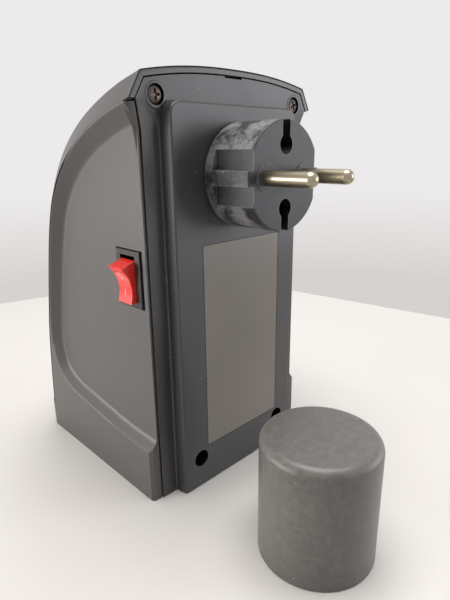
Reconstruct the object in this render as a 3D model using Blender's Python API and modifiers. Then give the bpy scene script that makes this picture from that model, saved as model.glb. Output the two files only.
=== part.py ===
"""Plug-in fan heater: a small heater that hangs on its own mains plug, with the cap of the plug.

Metres, +Z up.  The grille faces -Y, the plug points to +Y, and the rocker switch is on the +X side.
The origin is on the floor under the middle of the heater.
"""
import bpy
import bmesh
from math import acos, atan2, cos, sin, pi, radians
from mathutils import Matrix, Vector

# Driving sizes of the whole heater
DEPTH = 0.0890                  # from the face of the back plate to the foot of the hood
CORNER_HEIGHT = 0.1478          # top of the hood's long edge, at the back
CROWN = 0.0034                  # rise of the hood between its two long edges
CROWN_POWER = 2.35
SEAM_HALF_WIDTH = 0.0428        # middle of the heater to the edge of the hood
CORNER_SIDE_INSET = 0.0045      # hood's long edge, in from the edge of the hood
CORNER_HALF_WIDTH = SEAM_HALF_WIDTH - CORNER_SIDE_INSET
SEAM_INSET = 0.0076             # from the hood's long edge in to its edge, at the top
SEAM_FOOT_INSET = 0.0042        # the same at the floor
SEAM_TURN_HEIGHT = 0.0620       # below this the edge draws near to the front
FOOT_WIDTH_SHARE = 0.974        # width at the floor, as a share of the width at the top
GAP = 0.0003                    # running gap between neighbouring pieces
OVERRUN = 0.0020                # how far a cutter stands past what it cuts
MERGE_DISTANCE = 0.00002
PATH_STEPS = 2
ROUND_STEPS = 32
PLUG_ROUND_STEPS = 36
MIDDLE_ROUND_STEPS = 20
SMALL_ROUND_STEPS = 12
CORNER_STEPS = 4
KEYHOLE_STEPS = 12
SHARP_ANGLE = radians(35)

# Side view of the hood's long edge, from the top at the back to the floor, as shares of
# DEPTH and CORNER_HEIGHT
FRONT_PROFILE_SHARES = (
    (0.035, 1.000), (0.183, 0.980), (0.337, 0.949), (0.471, 0.911), (0.593, 0.860),
    (0.684, 0.805), (0.764, 0.733), (0.841, 0.616), (0.930, 0.426), (0.960, 0.325),
    (0.978, 0.2165), (1.000, 0.000),
)
# Points across half the hood, as shares of CORNER_HALF_WIDTH
SECTION_SHARES = (0, 0.40, 0.70, 0.88, 1)

# Hood
HOOD_WALL = 0.0019
HOOD_BACK_INSET = 0.0031        # back rim of the hood, behind the face of the back plate
HOOD_FOOT_HEIGHT = 0.0124
SEAM_GAP = 0.0008               # dark line between the hood and the side walls

# Main housing: side walls, floor and front lip
SIDE_PANEL_DEPTH = 0.0042       # inset side panels, in from the edge of the hood
SIDE_PANEL_X = SEAM_HALF_WIDTH - SIDE_PANEL_DEPTH
SIDE_WALL = 0.0022
FLOOR_WALL = 0.0026
HOUSING_BACK_INSET = 0.0057
HOUSING_BACK_CHAMFER = 0.0010
PLINTH_HEIGHT = 0.0120
PLINTH_FRONT_INSET = 0.0006
PLINTH_CORNER_RADIUS = 0.0050
PANEL_INSET = 0.0130            # from the hood's long edge in to the flat of the side panel
PANEL_BEVEL_WIDTH = 0.0052
PANEL_BEVEL_RISE = 0.0045
BEVEL_REACH_SHARE = 1.6         # how far the cutter of the bevel runs on past its edge
PANEL_LOW_HEIGHT = 0.0248
PANEL_FRONT_HEIGHT = 0.0460
PANEL_OVERRUN_SHARE = 0.25      # how far the panel's cutter runs on behind the heater
# Lower edge of the side panel from front to back: shares of DEPTH, and of the height between
# PANEL_LOW_HEIGHT and PANEL_FRONT_HEIGHT
PANEL_LOW_EDGE_SHARES = (
    (0.802, 0.780), (0.787, 0.560), (0.760, 0.420), (0.715, 0.310), (0.635, 0.215),
    (0.490, 0.135), (0.320, 0.045), (0.170, 0.000),
)

# Air intake in the side wall away from the switch
INTAKE_MARGIN = 0.0025          # how far the slots reach past the start of the scroll
INTAKE_SLOT = 0.0026
INTAKE_PITCH = 0.0050

# Back cover
COVER_WALL = 0.0022
COVER_SIDE_INSET = 0.0011       # side of the back cover, in from the plane of the side panel
COVER_HALF_WIDTH = SIDE_PANEL_X - COVER_SIDE_INSET
COVER_FLANK_INSET = 0.0050      # flat beside the raised plate, behind the plate's face
COVER_TOP_INSET = 0.0033        # flat round the top screws, behind the plate's face
COVER_SLOPE_DROP = 0.0078       # from the top corner down to the slope under the top screws
COVER_SLOPE_HEIGHT = 0.0085
COVER_SLOPE_TOP = CORNER_HEIGHT - COVER_SLOPE_DROP
COVER_SLOPE_FOOT = COVER_SLOPE_TOP - COVER_SLOPE_HEIGHT
COVER_BOTTOM = 0.0003
COVER_ARCH_GAP = 0.0005
COVER_ARCH_INNER_GAP = 0.0012
PLATE_SIDE_INSET = 0.0072       # raised plate, in from the side of the back cover
PLATE_FOOT_LEAN = 0.0007        # how much wider the plate is at its foot
PLATE_TOP_DROP = 0.0079
PLATE_HALF_WIDTH = COVER_HALF_WIDTH - PLATE_SIDE_INSET
PLATE_FOOT_HALF_WIDTH = PLATE_HALF_WIDTH + PLATE_FOOT_LEAN
PLATE_TOP = CORNER_HEIGHT - PLATE_TOP_DROP
PLATE_CORNER_RADIUS = 0.0040
SNAP_SLOT_WIDTH = 0.0081
SNAP_SLOT_DEPTH = 0.0009
LABEL_LEFT_INSET = 0.0093       # in from the left side of the raised plate
LABEL_RIGHT_INSET = 0.0117
LABEL_LOW = 0.0165
LABEL_PLUG_GAP = 0.0049         # from the rim of the plug down to the label
LABEL_THICKNESS = 0.00025
LABEL_POCKET = 0.00050

# Screws
SCREW_HEAD_RADIUS = 0.0027
SCREW_HEAD_HEIGHT = 0.0014
SCREW_SEAT_RADIUS = 0.0031
SCREW_SHANK_RADIUS = 0.0013
SCREW_LENGTH = 0.0090
SCREW_CROSS_WIDTH = 0.0009
SCREW_CROSS_LENGTH = 0.0032
SCREW_CROSS_DEPTH = 0.0008
TOP_SCREW_SIDE_INSET = 0.0046   # in from the side of the back cover
TOP_SCREW_DROP = 0.0063         # down from the top corner of the hood
TOP_SCREW_X = COVER_HALF_WIDTH - TOP_SCREW_SIDE_INSET
TOP_SCREW_Z = CORNER_HEIGHT - TOP_SCREW_DROP
TOP_LOBE_RADIUS = 0.0042
LOW_SCREW_SIDE_INSET = 0.0081   # in from the side of the raised plate
LOW_SCREW_X = PLATE_HALF_WIDTH - LOW_SCREW_SIDE_INSET
LOW_SCREW_Z = 0.0122
LOW_HOLE_RADIUS = 0.00335
LOW_HOLE_DEPTH = 0.0120
LOW_BOSS_WALL = 0.0016
LOW_BOSS_FLOOR = 0.0020
POST_RADIUS = 0.0038
POST_LENGTH = 0.0110

# Mains plug
PLUG_DROP = 0.0229              # from the top of the raised plate down to the plug's axis
PLUG_RADIUS = 0.0177
PLUG_LENGTH = 0.0197
PLUG_RIM_LENGTH = 0.0035
PLUG_NECK_RADIUS = 0.0120
PLUG_NECK_LENGTH = 0.0062
PLUG_FLAT_X = 0.0154            # flats at both sides of the plug
PLUG_RIB_WIDTH = 0.0047         # rib left standing between two flats
PLUG_EDGE = 0.0004
KEYHOLE_OFFSET = 0.0100
KEYHOLE_RADIUS = 0.0031
KEYHOLE_DEPTH = 0.0150
KEYHOLE_SLOT_WIDTH = 0.0037
PIN_SPACING = 0.0190
PIN_RADIUS = 0.0024
PIN_REACH = 0.0190
PIN_COLLAR_RADIUS = 0.0045
PIN_COLLAR_HEIGHT = 0.0004
RETAINER_RADIUS = 0.0150
RETAINER_THICKNESS = 0.0018
LUG_THICKNESS = 0.0008
LUG_WIDTH = 0.0050
LUG_LENGTH = 0.0080

# Cap of the plug, standing on the floor
CAP_X = 0.0153
CAP_STANDOFF = 0.0484           # from the face of the back plate to the middle of the cap
CAP_HEIGHT = 0.0416
CAP_WALL = 0.0012
CAP_CLEARANCE = 0.00025
CAP_EDGE_RADIUS = 0.0032

# Rocker switch
SWITCH_INSET = 0.0155           # from the face of the back plate
SWITCH_DROP = 0.0634            # from the top corner of the hood
BEZEL_WIDTH = 0.0138
BEZEL_HEIGHT = 0.0196
BEZEL_THICKNESS = 0.0014
BEZEL_BACK_GAP = 0.0011
SWITCH_BODY_WIDTH = 0.0120
SWITCH_BODY_HEIGHT = 0.0178
SWITCH_BODY_DEPTH = 0.0150
SWITCH_BODY_WALL = 0.0016
ROCKER_WIDTH = 0.0079
ROCKER_HALF_HEIGHT = 0.0066
ROCKER_SHOULDER_HALF_HEIGHT = 0.0073
ROCKER_TIP = 0.0083             # tips of the rocker, out from its pivot
ROCKER_SHOULDER = 0.0022
ROCKER_HOLLOW = 0.0020          # how far the middle of its face lies below the tips
ROCKER_BELLY = 0.0045
ROCKER_PIVOT_DEPTH = 0.0038     # pivot below the plane of the side panel
ROCKER_PIN_RADIUS = 0.0010
ROCKER_TILT = radians(13)
ROCKER_STEPS = 6
WINDOW_HALF_HEIGHT = 0.0080
TERMINAL_WIDTH = 0.0048
TERMINAL_THICKNESS = 0.0008
TERMINAL_LENGTH = 0.0070
TERMINAL_SPACING = 0.0076

# Display and buttons, in a frame that leans with the hood
PANEL_SHARE = 0.480             # place of the control panel along DEPTH
CONTROL_EXTRA_LEAN = radians(3.03)    # steeper than the hood at that place
DISPLAY_WIDTH = 0.0340
DISPLAY_HEIGHT = 0.0130
DISPLAY_UP = 0.0095
DISPLAY_CORNER = 0.0015
LENS_THICKNESS = 0.0015
BUTTON_DOWN = 0.0080
BUTTON_SPACING = 0.0135
BUTTONS = 4
BUTTON_RADIUS = 0.0036
BUTTON_PROUD = 0.0011
BUTTON_FLANGE_RADIUS = 0.0046
BUTTON_FLANGE_THICKNESS = 0.0010
BUTTON_STEM_RADIUS = 0.0015
BUTTON_TRAVEL = 0.0006
BOARD_THICKNESS = 0.0016
CONTROL_BOARD_DEPTH = 0.0125    # top of the control board below the frame's origin
CONTROL_BOARD_SIDE_ROOM = 0.0053    # between the board's end and the hood's long edge
CONTROL_BOARD_HEIGHT = 0.0340
CONTROL_BOSS_RADIUS = 0.0024
CONTROL_BOSS_INSET = 0.0030     # in from the end of the board
CONTROL_BOSS_UP = 0.0020
TACT_SIZE = 0.0060
TACT_HEIGHT = 0.0036
DIGITS_WIDTH = 0.0300
DIGITS_HEIGHT = 0.0100
DIGITS_THICKNESS = 0.0062

# Fan
FAN_BACK_ROOM = 0.0135          # from the face of the back plate to the air round the wheel
FAN_DEPTH_ROOM = 0.0510         # depth that the fan leaves to the heater, duct and walls
FAN_SIDE_ROOM = 0.0562          # width that the wheel leaves to its motor and the air intake
FAN_DROP = 0.0095               # from the body of the switch down to the fan axis
FAN_TOP_ROOM = 0.0055           # between the scroll and the power board
IMPELLER_CLEARANCE = 0.0020     # between the wheel and the start of the scroll
IMPELLER_DISC = 0.0014
IMPELLER_RING_WIDTH = 0.0022
IMPELLER_BLADES = 18
BLADE_LENGTH = 0.0048
BLADE_THICKNESS = 0.0009
BLADE_TURN = radians(38)
BLADE_STEPS = 2
HUB_RADIUS = 0.0042
HUB_LENGTH_SHARE = 0.524        # of the length of the wheel
SHAFT_RADIUS = 0.0010
SCROLL_WALL = 0.0014
SCROLL_GROWTH = 0.0072
SCROLL_TONGUE = radians(290)
SCROLL_STEPS = 24
SCROLL_SIDE_GAP = 0.0012
SCROLL_MIDDLE_X = -0.0010
INLET_MARGIN = 0.0040           # how far the rim of the wheel stands past the inlet
MOTOR_RADIUS_SHARE = 0.647      # of the radius of the wheel
MOTOR_LENGTH = 0.0180
MOTOR_BOSS_RADIUS = 0.0035
MOTOR_BOSS_LENGTH = 0.0020
SHAFT_BITE = 0.0060
STAND_WALL = 0.0024
STAND_WIDTH = 0.0180

# Heater
HEATER_SIDE_ROOM = 0.0136       # between the heater's frame and the plane of the side panel
HEATER_HEIGHT = 0.0330
HEATER_DEPTH = 0.0110
HEATER_DROP = 0.0170            # from the fan axis down to the middle of the heater
HEATER_FRAME_WALL = 0.0022
HEATER_FRONT_ROOM = 0.0155      # from the foot of the hood to the front of the heater
FIN_COUNT = 20
FIN_THICKNESS = 0.0005
ELEMENT_BARS = 3
ELEMENT_BAR_HEIGHT = 0.0030
ELEMENT_MARGIN = 0.0015
HEATER_TAB_LENGTH = 0.0065
HEATER_TAB_WIDTH = 0.0048
CUTOUT_RADIUS = 0.0050
CUTOUT_HEIGHT = 0.0040
DUCT_WALL = 0.0014

# Power board
POWER_BOARD_RISE = 0.0013       # above the bezel of the switch
POWER_BOARD_LENGTH = 0.0340
POWER_BOARD_INSET = 0.0160
LEDGE_THICKNESS = 0.0022
LEDGE_WIDTH = 0.0030
LEDGE_LENGTH = 0.0180
LEDGE_INSET = 0.0290
RELAY_LENGTH = 0.0190
RELAY_WIDTH = 0.0150
RELAY_HEIGHT = 0.0040
CAPACITOR_RADIUS = 0.0032
CAPACITOR_LENGTH = 0.0120

# Outlet grille
GRILLE_SIDE_ROOM = 0.0113       # between the grille and the hood's long edge
GRILLE_LOW = 0.0200
GRILLE_HIGH_RISE = 0.0270       # above the middle of the heater
GRILLE_FRAME = 0.0026
GRILLE_SLOT = 0.0031
GRILLE_PITCH = 0.0051
GRILLE_RIB = 0.0024
GRILLE_LEAN = radians(18)
GRILLE_PLACE_SHARE = 0.42       # middle of the cutters of its slots, as a share of DEPTH
GRILLE_CUT_SHARE = 0.33         # length of those cutters, as a share of DEPTH

# Places worked out from the sizes above
PLATE_Y = DEPTH / 2
HOOD_BACK_Y = PLATE_Y - HOOD_BACK_INSET
HOUSING_BACK_Y = PLATE_Y - HOUSING_BACK_INSET
FLANK_Y = PLATE_Y - COVER_FLANK_INSET
COVER_TOP_Y = PLATE_Y - COVER_TOP_INSET
COVER_INNER_Y = FLANK_Y - COVER_WALL
PLUG_Z = PLATE_TOP - PLUG_DROP
PLUG_BACK_Y = PLATE_Y + GAP
PLUG_FACE_Y = PLUG_BACK_Y + PLUG_LENGTH
PLUG_NECK_Y = PLUG_BACK_Y - PLUG_NECK_LENGTH
CAP_RADIUS = PLUG_RADIUS + CAP_CLEARANCE + CAP_WALL
CAP_Y = PLATE_Y + CAP_STANDOFF
LABEL_WIDTH = 2 * PLATE_HALF_WIDTH - LABEL_LEFT_INSET - LABEL_RIGHT_INSET
LABEL_X = (LABEL_LEFT_INSET - LABEL_RIGHT_INSET) / 2
LABEL_HIGH = PLUG_Z - PLUG_RADIUS - LABEL_PLUG_GAP
SWITCH_Y = PLATE_Y - SWITCH_INSET
SWITCH_Z = CORNER_HEIGHT - SWITCH_DROP
CONTROL_BOARD_WIDTH = 2 * (CORNER_HALF_WIDTH - CONTROL_BOARD_SIDE_ROOM)
CONTROL_BOSS_X = CONTROL_BOARD_WIDTH / 2 - CONTROL_BOSS_INSET
SCROLL_START_RADIUS = (DEPTH - FAN_DEPTH_ROOM) / 2
INTAKE_RADIUS = SCROLL_START_RADIUS + INTAKE_MARGIN
INTAKE_SLOTS = 2 * int(INTAKE_RADIUS / INTAKE_PITCH) + 1
IMPELLER_RADIUS = SCROLL_START_RADIUS - IMPELLER_CLEARANCE
MOTOR_RADIUS = IMPELLER_RADIUS * MOTOR_RADIUS_SHARE
IMPELLER_LENGTH = 2 * SIDE_PANEL_X - FAN_SIDE_ROOM
INLET_RADIUS = IMPELLER_RADIUS - INLET_MARGIN
HUB_LENGTH = IMPELLER_LENGTH * HUB_LENGTH_SHARE
FAN_Y = PLATE_Y - FAN_BACK_ROOM - SCROLL_START_RADIUS
FAN_Z = SWITCH_Z - SWITCH_BODY_HEIGHT / 2 - FAN_DROP
FAN_TOP_Z = FAN_Z + SCROLL_START_RADIUS + SCROLL_GROWTH / 2 + SCROLL_WALL
POWER_BOARD_Z = max(SWITCH_Z + BEZEL_HEIGHT / 2 + POWER_BOARD_RISE, FAN_TOP_Z + FAN_TOP_ROOM)
SCROLL_HALF_WIDTH = IMPELLER_LENGTH / 2 + SCROLL_SIDE_GAP
SCROLL_LOW_X = SCROLL_MIDDLE_X - SCROLL_HALF_WIDTH - SCROLL_WALL
SCROLL_HIGH_X = SCROLL_MIDDLE_X + SCROLL_HALF_WIDTH + SCROLL_WALL
SCROLL_OUTLET_Y = FAN_Y - SCROLL_START_RADIUS - SCROLL_GROWTH / 4 - SCROLL_WALL - GAP
HEATER_FRONT_Y = PLATE_Y - DEPTH + HEATER_FRONT_ROOM
HEATER_BACK_Y = HEATER_FRONT_Y + HEATER_DEPTH
HEATER_WIDTH = 2 * (SIDE_PANEL_X - HEATER_SIDE_ROOM)
HEATER_Z = FAN_Z - HEATER_DROP
GRILLE_HALF_WIDTH = CORNER_HALF_WIDTH - GRILLE_SIDE_ROOM
GRILLE_HIGH = HEATER_Z + GRILLE_HIGH_RISE

ALONG_X = Matrix(((0, 0, 1, 0), (1, 0, 0, 0), (0, 1, 0, 0), (0, 0, 0, 1)))
ALONG_Y = Matrix(((1, 0, 0, 0), (0, 0, -1, 0), (0, 1, 0, 0), (0, 0, 0, 1)))
ALONG_Z = Matrix.Identity(4)


# Scene and materials

def clear_scene():
    for obj in list(bpy.data.objects):
        bpy.data.objects.remove(obj, do_unlink=True)
    for collection in list(bpy.data.collections):
        bpy.data.collections.remove(collection)


def new_collection(name):
    collection = bpy.data.collections.new(name)
    bpy.context.scene.collection.children.link(collection)
    return collection


def finish(name, colour, roughness, metallic=0.0):
    """A Principled material from an sRGB colour."""
    material = bpy.data.materials.new(name)
    material.use_nodes = True
    shader = material.node_tree.nodes["Principled BSDF"]
    linear = [(c / 12.92 if c <= 0.04045 else ((c + 0.055) / 1.055) ** 2.4) for c in colour]
    shader.inputs["Base Color"].default_value = (*linear, 1.0)
    shader.inputs["Roughness"].default_value = roughness
    shader.inputs["Metallic"].default_value = metallic
    return material


# Points and outlines

def smooth_path(points, steps):
    """Catmull-Rom curve through the points, with a number of steps to each span."""
    result = []
    for i in range(len(points) - 1):
        p1 = Vector(points[i])
        p2 = Vector(points[i + 1])
        p0 = Vector(points[i - 1]) if i else 2 * p1 - p2
        p3 = Vector(points[i + 2]) if i + 2 < len(points) else 2 * p2 - p1
        for k in range(steps):
            t = k / steps
            result.append(0.5 * (2 * p1 + (p2 - p0) * t + (2 * p0 - 5 * p1 + 4 * p2 - p3) * t ** 2
                                 + (3 * p1 - p0 - 3 * p2 + p3) * t ** 3))
    result.append(Vector(points[-1]))
    return result


def offset_path(points, distances):
    """Open path moved sideways, to the left of its direction, by a distance at each point."""
    moved = []
    last = len(points) - 1
    for i, (point, distance) in enumerate(zip(points, distances)):
        ahead = (points[min(i + 1, last)] - points[min(i, last - 1)]).normalized()
        behind = (points[max(i, 1)] - points[max(i - 1, 0)]).normalized()
        left = Vector((-(ahead.y + behind.y), ahead.x + behind.x)).normalized()
        stretch = 1 / max(left.dot(Vector((-ahead.y, ahead.x))), 0.5)
        moved.append(point + left * distance * stretch)
    return moved


def offset_outline(points, distance):
    """Closed outline grown outwards; its points run anticlockwise."""
    grown = []
    count = len(points)
    for i, point in enumerate(points):
        ahead = (points[(i + 1) % count] - point).normalized()
        behind = (point - points[i - 1]).normalized()
        right = Vector((ahead.y + behind.y, -(ahead.x + behind.x))).normalized()
        stretch = 1 / max(right.dot(Vector((ahead.y, -ahead.x))), 0.5)
        grown.append(point + right * distance * stretch)
    return grown


def arc(centre, radius, start, end, steps):
    """Points on an arc from one angle to another."""
    angles = [start + (end - start) * k / steps for k in range(steps + 1)]
    return [Vector((centre[0] + radius * cos(a), centre[1] + radius * sin(a))) for a in angles]


def quarter_turn(steps):
    return [k * pi / 2 / steps for k in range(steps + 1)]


def circle(centre, radius, steps):
    return arc(centre, radius, 0, 2 * pi, steps)[:-1]


def rounded_rectangle(low, high, radius, steps=CORNER_STEPS):
    """Anticlockwise outline with round corners."""
    corners = ((high[0], low[1], -pi / 2), (high[0], high[1], 0), (low[0], high[1], pi / 2),
               (low[0], low[1], pi))
    inward = ((-1, 1), (-1, -1), (1, -1), (1, 1))
    points = []
    for (x, y, start), (sx, sy) in zip(corners, inward):
        centre = (x + sx * radius, y + sy * radius)
        points += arc(centre, radius, start, start + pi / 2, steps)
    return points


def rectangle(low, high):
    return [Vector(low), Vector((high[0], low[1])), Vector(high), Vector((low[0], high[1]))]


def seam_draw(z):
    """How much nearer to the long edge the hood's edge lies at a height than at the top."""
    share = min(max(1 - z / SEAM_TURN_HEIGHT, 0), 1)
    return (SEAM_INSET - SEAM_FOOT_INSET) * share


def front_profile(inset, back_y, foot_z, at_seam=False):
    """Side view of the hood's long edge as (y, z), set in by a distance, from the plane of
    back_y to the height of foot_z; both ends run on straight where they have to."""
    points = [(PLATE_Y - d * DEPTH, h * CORNER_HEIGHT) for d, h in FRONT_PROFILE_SHARES]
    path = smooth_path(points, PATH_STEPS)
    draws = [seam_draw(p.y) if at_seam else 0 for p in path]
    path = offset_path(path, [inset - draw for draw in draws])
    start = path[0] + (path[0] - path[1]) * (back_y - path[0].x) / (path[0].x - path[1].x)
    end = path[-1] + (path[-1] - path[-2]) * (foot_z - path[-1].y) / (path[-1].y - path[-2].y)
    kept = [p for p in path if p.x < back_y and p.y > foot_z]
    if path[0].x >= back_y:
        before = [p for p in path if p.x >= back_y][-1]
        start = before.lerp(kept[0], (before.x - back_y) / (before.x - kept[0].x))
    if path[-1].y <= foot_z:
        after = [p for p in path if p.y <= foot_z][0]
        end = kept[-1].lerp(after, (kept[-1].y - foot_z) / (kept[-1].y - after.y))
    return [start] + kept + [end]


def hood_section(inset=0):
    """Half section across the hood as (x, rise above the long edge), from the middle out."""
    half = [Vector((CORNER_HALF_WIDTH * s, CROWN * (1 - s ** CROWN_POWER)))
            for s in SECTION_SHARES]
    half.append(Vector((SEAM_HALF_WIDTH, -SEAM_INSET)))
    mirror = [Vector((-p.x, p.y)) for p in reversed(half[1:])]
    whole = mirror + half
    moved = offset_path(whole, [-inset] * len(whole))
    return moved[len(mirror):]


def width_share(z):
    """Width of the heater at a height, as a share of its width at the top."""
    return FOOT_WIDTH_SHARE + (1 - FOOT_WIDTH_SHARE) * min(z / CORNER_HEIGHT, 1)


# Solids

class Shop:
    """Where new objects go, and what they are finished in."""
    parts = None
    cutters = None


def place_object(name, mesh, material):
    obj = bpy.data.objects.new(name, mesh)
    if material is None:
        Shop.cutters.objects.link(obj)
        obj.hide_render = True
        obj.display_type = 'WIRE'
    else:
        Shop.parts.objects.link(obj)
        mesh.materials.append(material)
    return obj


def face_outwards(bm):
    """Turns the faces of closed solids outwards."""
    bmesh.ops.recalc_face_normals(bm, faces=bm.faces)
    if bm.calc_volume(signed=True) < 0:
        bmesh.ops.reverse_faces(bm, faces=bm.faces)


def mesh_from(bm, name):
    mesh = bpy.data.meshes.new(name)
    bm.to_mesh(mesh)
    bm.free()
    return mesh


def block(name, low, high, material=None, turn=ALONG_Z):
    """Box between two corners, in the frame of turn."""
    bm = bmesh.new()
    bmesh.ops.create_cube(bm, size=1)
    size = [h - l for l, h in zip(low, high)]
    centre = [(h + l) / 2 for l, h in zip(low, high)]
    bmesh.ops.scale(bm, vec=size, verts=bm.verts)
    bmesh.ops.translate(bm, vec=centre, verts=bm.verts)
    bm.transform(turn)
    return place_object(name, mesh_from(bm, name), material)


def rod(name, start, end, radius, material=None, steps=ROUND_STEPS, end_radius=None):
    """Round bar between two points."""
    start = Vector(start)
    axis = Vector(end) - start
    bm = bmesh.new()
    bmesh.ops.create_cone(bm, cap_ends=True, segments=steps, radius1=radius,
                          radius2=radius if end_radius is None else end_radius, depth=axis.length)
    turn = axis.to_track_quat('Z', 'Y').to_matrix().to_4x4()
    bm.transform(Matrix.Translation(start + axis / 2) @ turn)
    mesh = mesh_from(bm, name)
    mesh.shade_smooth()
    mesh.set_sharp_from_angle(angle=SHARP_ANGLE)
    return place_object(name, mesh, material)


def plate(name, outlines, start, end, turn, material=None):
    """Flat outlines given a thickness from start to end, along the third axis of turn."""
    curve = bpy.data.curves.new(name, 'CURVE')
    curve.dimensions = '2D'
    curve.fill_mode = 'BOTH'
    curve.extrude = abs(end - start) / 2
    for outline in outlines:
        spline = curve.splines.new('POLY')
        spline.points.add(len(outline) - 1)
        for point, place in zip(spline.points, outline):
            point.co = (place[0], place[1], 0, 1)
        spline.use_cyclic_u = True
    flat = bpy.data.objects.new(name + "_outline", curve)
    Shop.cutters.objects.link(flat)
    bpy.context.view_layer.update()
    mesh = bpy.data.meshes.new_from_object(flat.evaluated_get(bpy.context.evaluated_depsgraph_get()))
    bpy.data.objects.remove(flat)
    bpy.data.curves.remove(curve)
    bm = bmesh.new()
    bm.from_mesh(mesh)
    bpy.data.meshes.remove(mesh)
    bmesh.ops.remove_doubles(bm, verts=bm.verts, dist=MERGE_DISTANCE)
    bmesh.ops.translate(bm, vec=(0, 0, (start + end) / 2), verts=bm.verts)
    bm.transform(turn)
    face_outwards(bm)
    return place_object(name, mesh_from(bm, name), material)


def turned(name, profile, place, material=None, steps=ROUND_STEPS):
    """Turned shape; the profile is (radius, height) and runs down its outer side.

    A profile that ends where it starts makes a ring."""
    closed = profile[0] == profile[-1]
    points = profile[:-1] if closed else profile
    edges = [(i, i + 1) for i in range(len(points) - 1)]
    if closed:
        edges.append((len(points) - 1, 0))
    mesh = bpy.data.meshes.new(name)
    mesh.from_pydata([(r, 0, h) for r, h in points], edges, [])
    obj = place_object(name, mesh, material)
    obj.matrix_world = place
    screw = obj.modifiers.new("turn", 'SCREW')
    screw.axis = 'Z'
    screw.steps = steps
    screw.render_steps = steps
    screw.use_merge_vertices = True
    screw.merge_threshold = MERGE_DISTANCE
    screw.use_smooth_shade = True
    return obj


def loft(name, sections, material=None):
    """Skin over closed sections with the same number of points, with a cap at both ends."""
    bm = bmesh.new()
    rings = [[bm.verts.new(point) for point in section] for section in sections]
    for low, high in zip(rings, rings[1:]):
        for i in range(len(low)):
            bm.faces.new((low[i - 1], low[i], high[i], high[i - 1]))
    bm.faces.new(rings[0])
    bm.faces.new(rings[-1])
    bmesh.ops.triangulate(bm, faces=bm.faces)
    face_outwards(bm)
    return place_object(name, mesh_from(bm, name), material)


def combine(target, operation, others):
    for other in others:
        step = target.modifiers.new(other.name, 'BOOLEAN')
        step.operation = operation
        step.solver = 'EXACT'
        step.object = other


def cut(target, *cutters):
    combine(target, 'DIFFERENCE', cutters)


def fuse(target, *pieces):
    combine(target, 'UNION', pieces)


def keep_inside(target, *pieces):
    combine(target, 'INTERSECT', pieces)


def several(name, boxes, turn=ALONG_Z):
    """Cutter of several separate boxes."""
    bm = bmesh.new()
    for low, high in boxes:
        made = bmesh.ops.create_cube(bm, size=1)["verts"]
        bmesh.ops.scale(bm, vec=[h - l for l, h in zip(low, high)], verts=made)
        bmesh.ops.translate(bm, vec=[(h + l) / 2 for l, h in zip(low, high)], verts=made)
    bm.transform(turn)
    return place_object(name, mesh_from(bm, name), None)


def mirror_from_right(target):
    """Keeps the half at +X and mirrors it."""
    weld = target.modifiers.new("weld", 'WELD')
    weld.merge_threshold = MERGE_DISTANCE
    mirror = target.modifiers.new("mirror", 'MIRROR')
    mirror.use_bisect_axis[0] = True
    mirror.use_bisect_flip_axis[0] = False
    mirror.merge_threshold = MERGE_DISTANCE
    split_faces(target)


def split_faces(target):
    """Splits the faces so far into triangles, so that bent ones cut cleanly."""
    target.modifiers.new("triangles", 'TRIANGULATE')


# Hood, grille, display and buttons

def hood_skin(name, thickness, material=None):
    """The hood's curved sheet with a wall thickness: a grid bent to the profile and section."""
    rows = front_profile(0, HOOD_BACK_Y + SEAM_INSET / 2, HOOD_FOOT_HEIGHT - OVERRUN)
    half = hood_section()
    section = [Vector((-p.x, p.y)) for p in reversed(half[1:])] + half
    bm = bmesh.new()
    grid = bmesh.ops.create_grid(bm, x_segments=len(section) - 1, y_segments=len(rows) - 1, size=1)
    columns = len(section)
    for i, vert in enumerate(grid["verts"]):
        row, column = divmod(i, columns)
        last = len(rows) - 1
        along = (rows[min(row + 1, last)] - rows[max(row - 1, 0)]).normalized()
        outward = Vector((along.y, -along.x))
        if row == 0:
            outward = Vector((0, 1))
        if row == last:
            outward = Vector((-1, 0))
        rise = section[column].y
        if column in (0, columns - 1):
            rise += seam_draw(rows[row].y)
        place = rows[row] + outward * rise
        vert.co = (section[column].x * width_share(place.y), place.x, place.y)
    bmesh.ops.recalc_face_normals(bm, faces=bm.faces)
    seen_from = Vector((0, -DEPTH, CORNER_HEIGHT))
    middle = min(bm.faces, key=lambda f: (f.calc_center_median() - seen_from).length)
    if middle.normal.dot(Vector((0, -1, 1))) < 0:
        bmesh.ops.reverse_faces(bm, faces=bm.faces)
    mesh = mesh_from(bm, name)
    mesh.shade_smooth()
    obj = place_object(name, mesh, material)
    solid = obj.modifiers.new("wall", 'SOLIDIFY')
    solid.thickness = thickness
    solid.offset = -1
    solid.use_even_offset = True
    return obj


def control_frame():
    """Frame of the display and buttons: X across, Y up the slope, Z out of the hood."""
    profile = front_profile(0, HOOD_BACK_Y, HOOD_FOOT_HEIGHT)
    wanted = PLATE_Y - PANEL_SHARE * DEPTH
    place = min(range(1, len(profile) - 1), key=lambda k: abs(profile[k].x - wanted))
    near = profile[place]
    along = profile[place - 1] - profile[place + 1]
    lean = Matrix.Rotation(atan2(along.y, along.x) + CONTROL_EXTRA_LEAN, 4, 'X')
    return Matrix.Translation((0, near.x, near.y)) @ lean


def button_places():
    first = -BUTTON_SPACING * (BUTTONS - 1) / 2
    return [first + BUTTON_SPACING * k for k in range(BUTTONS)]


def display_window(grow):
    """Outline of the display window, grown or shrunk."""
    return rounded_rectangle((-DISPLAY_WIDTH / 2 - grow, DISPLAY_UP - DISPLAY_HEIGHT / 2 - grow),
                             (DISPLAY_WIDTH / 2 + grow, DISPLAY_UP + DISPLAY_HEIGHT / 2 + grow),
                             DISPLAY_CORNER + grow)


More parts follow.
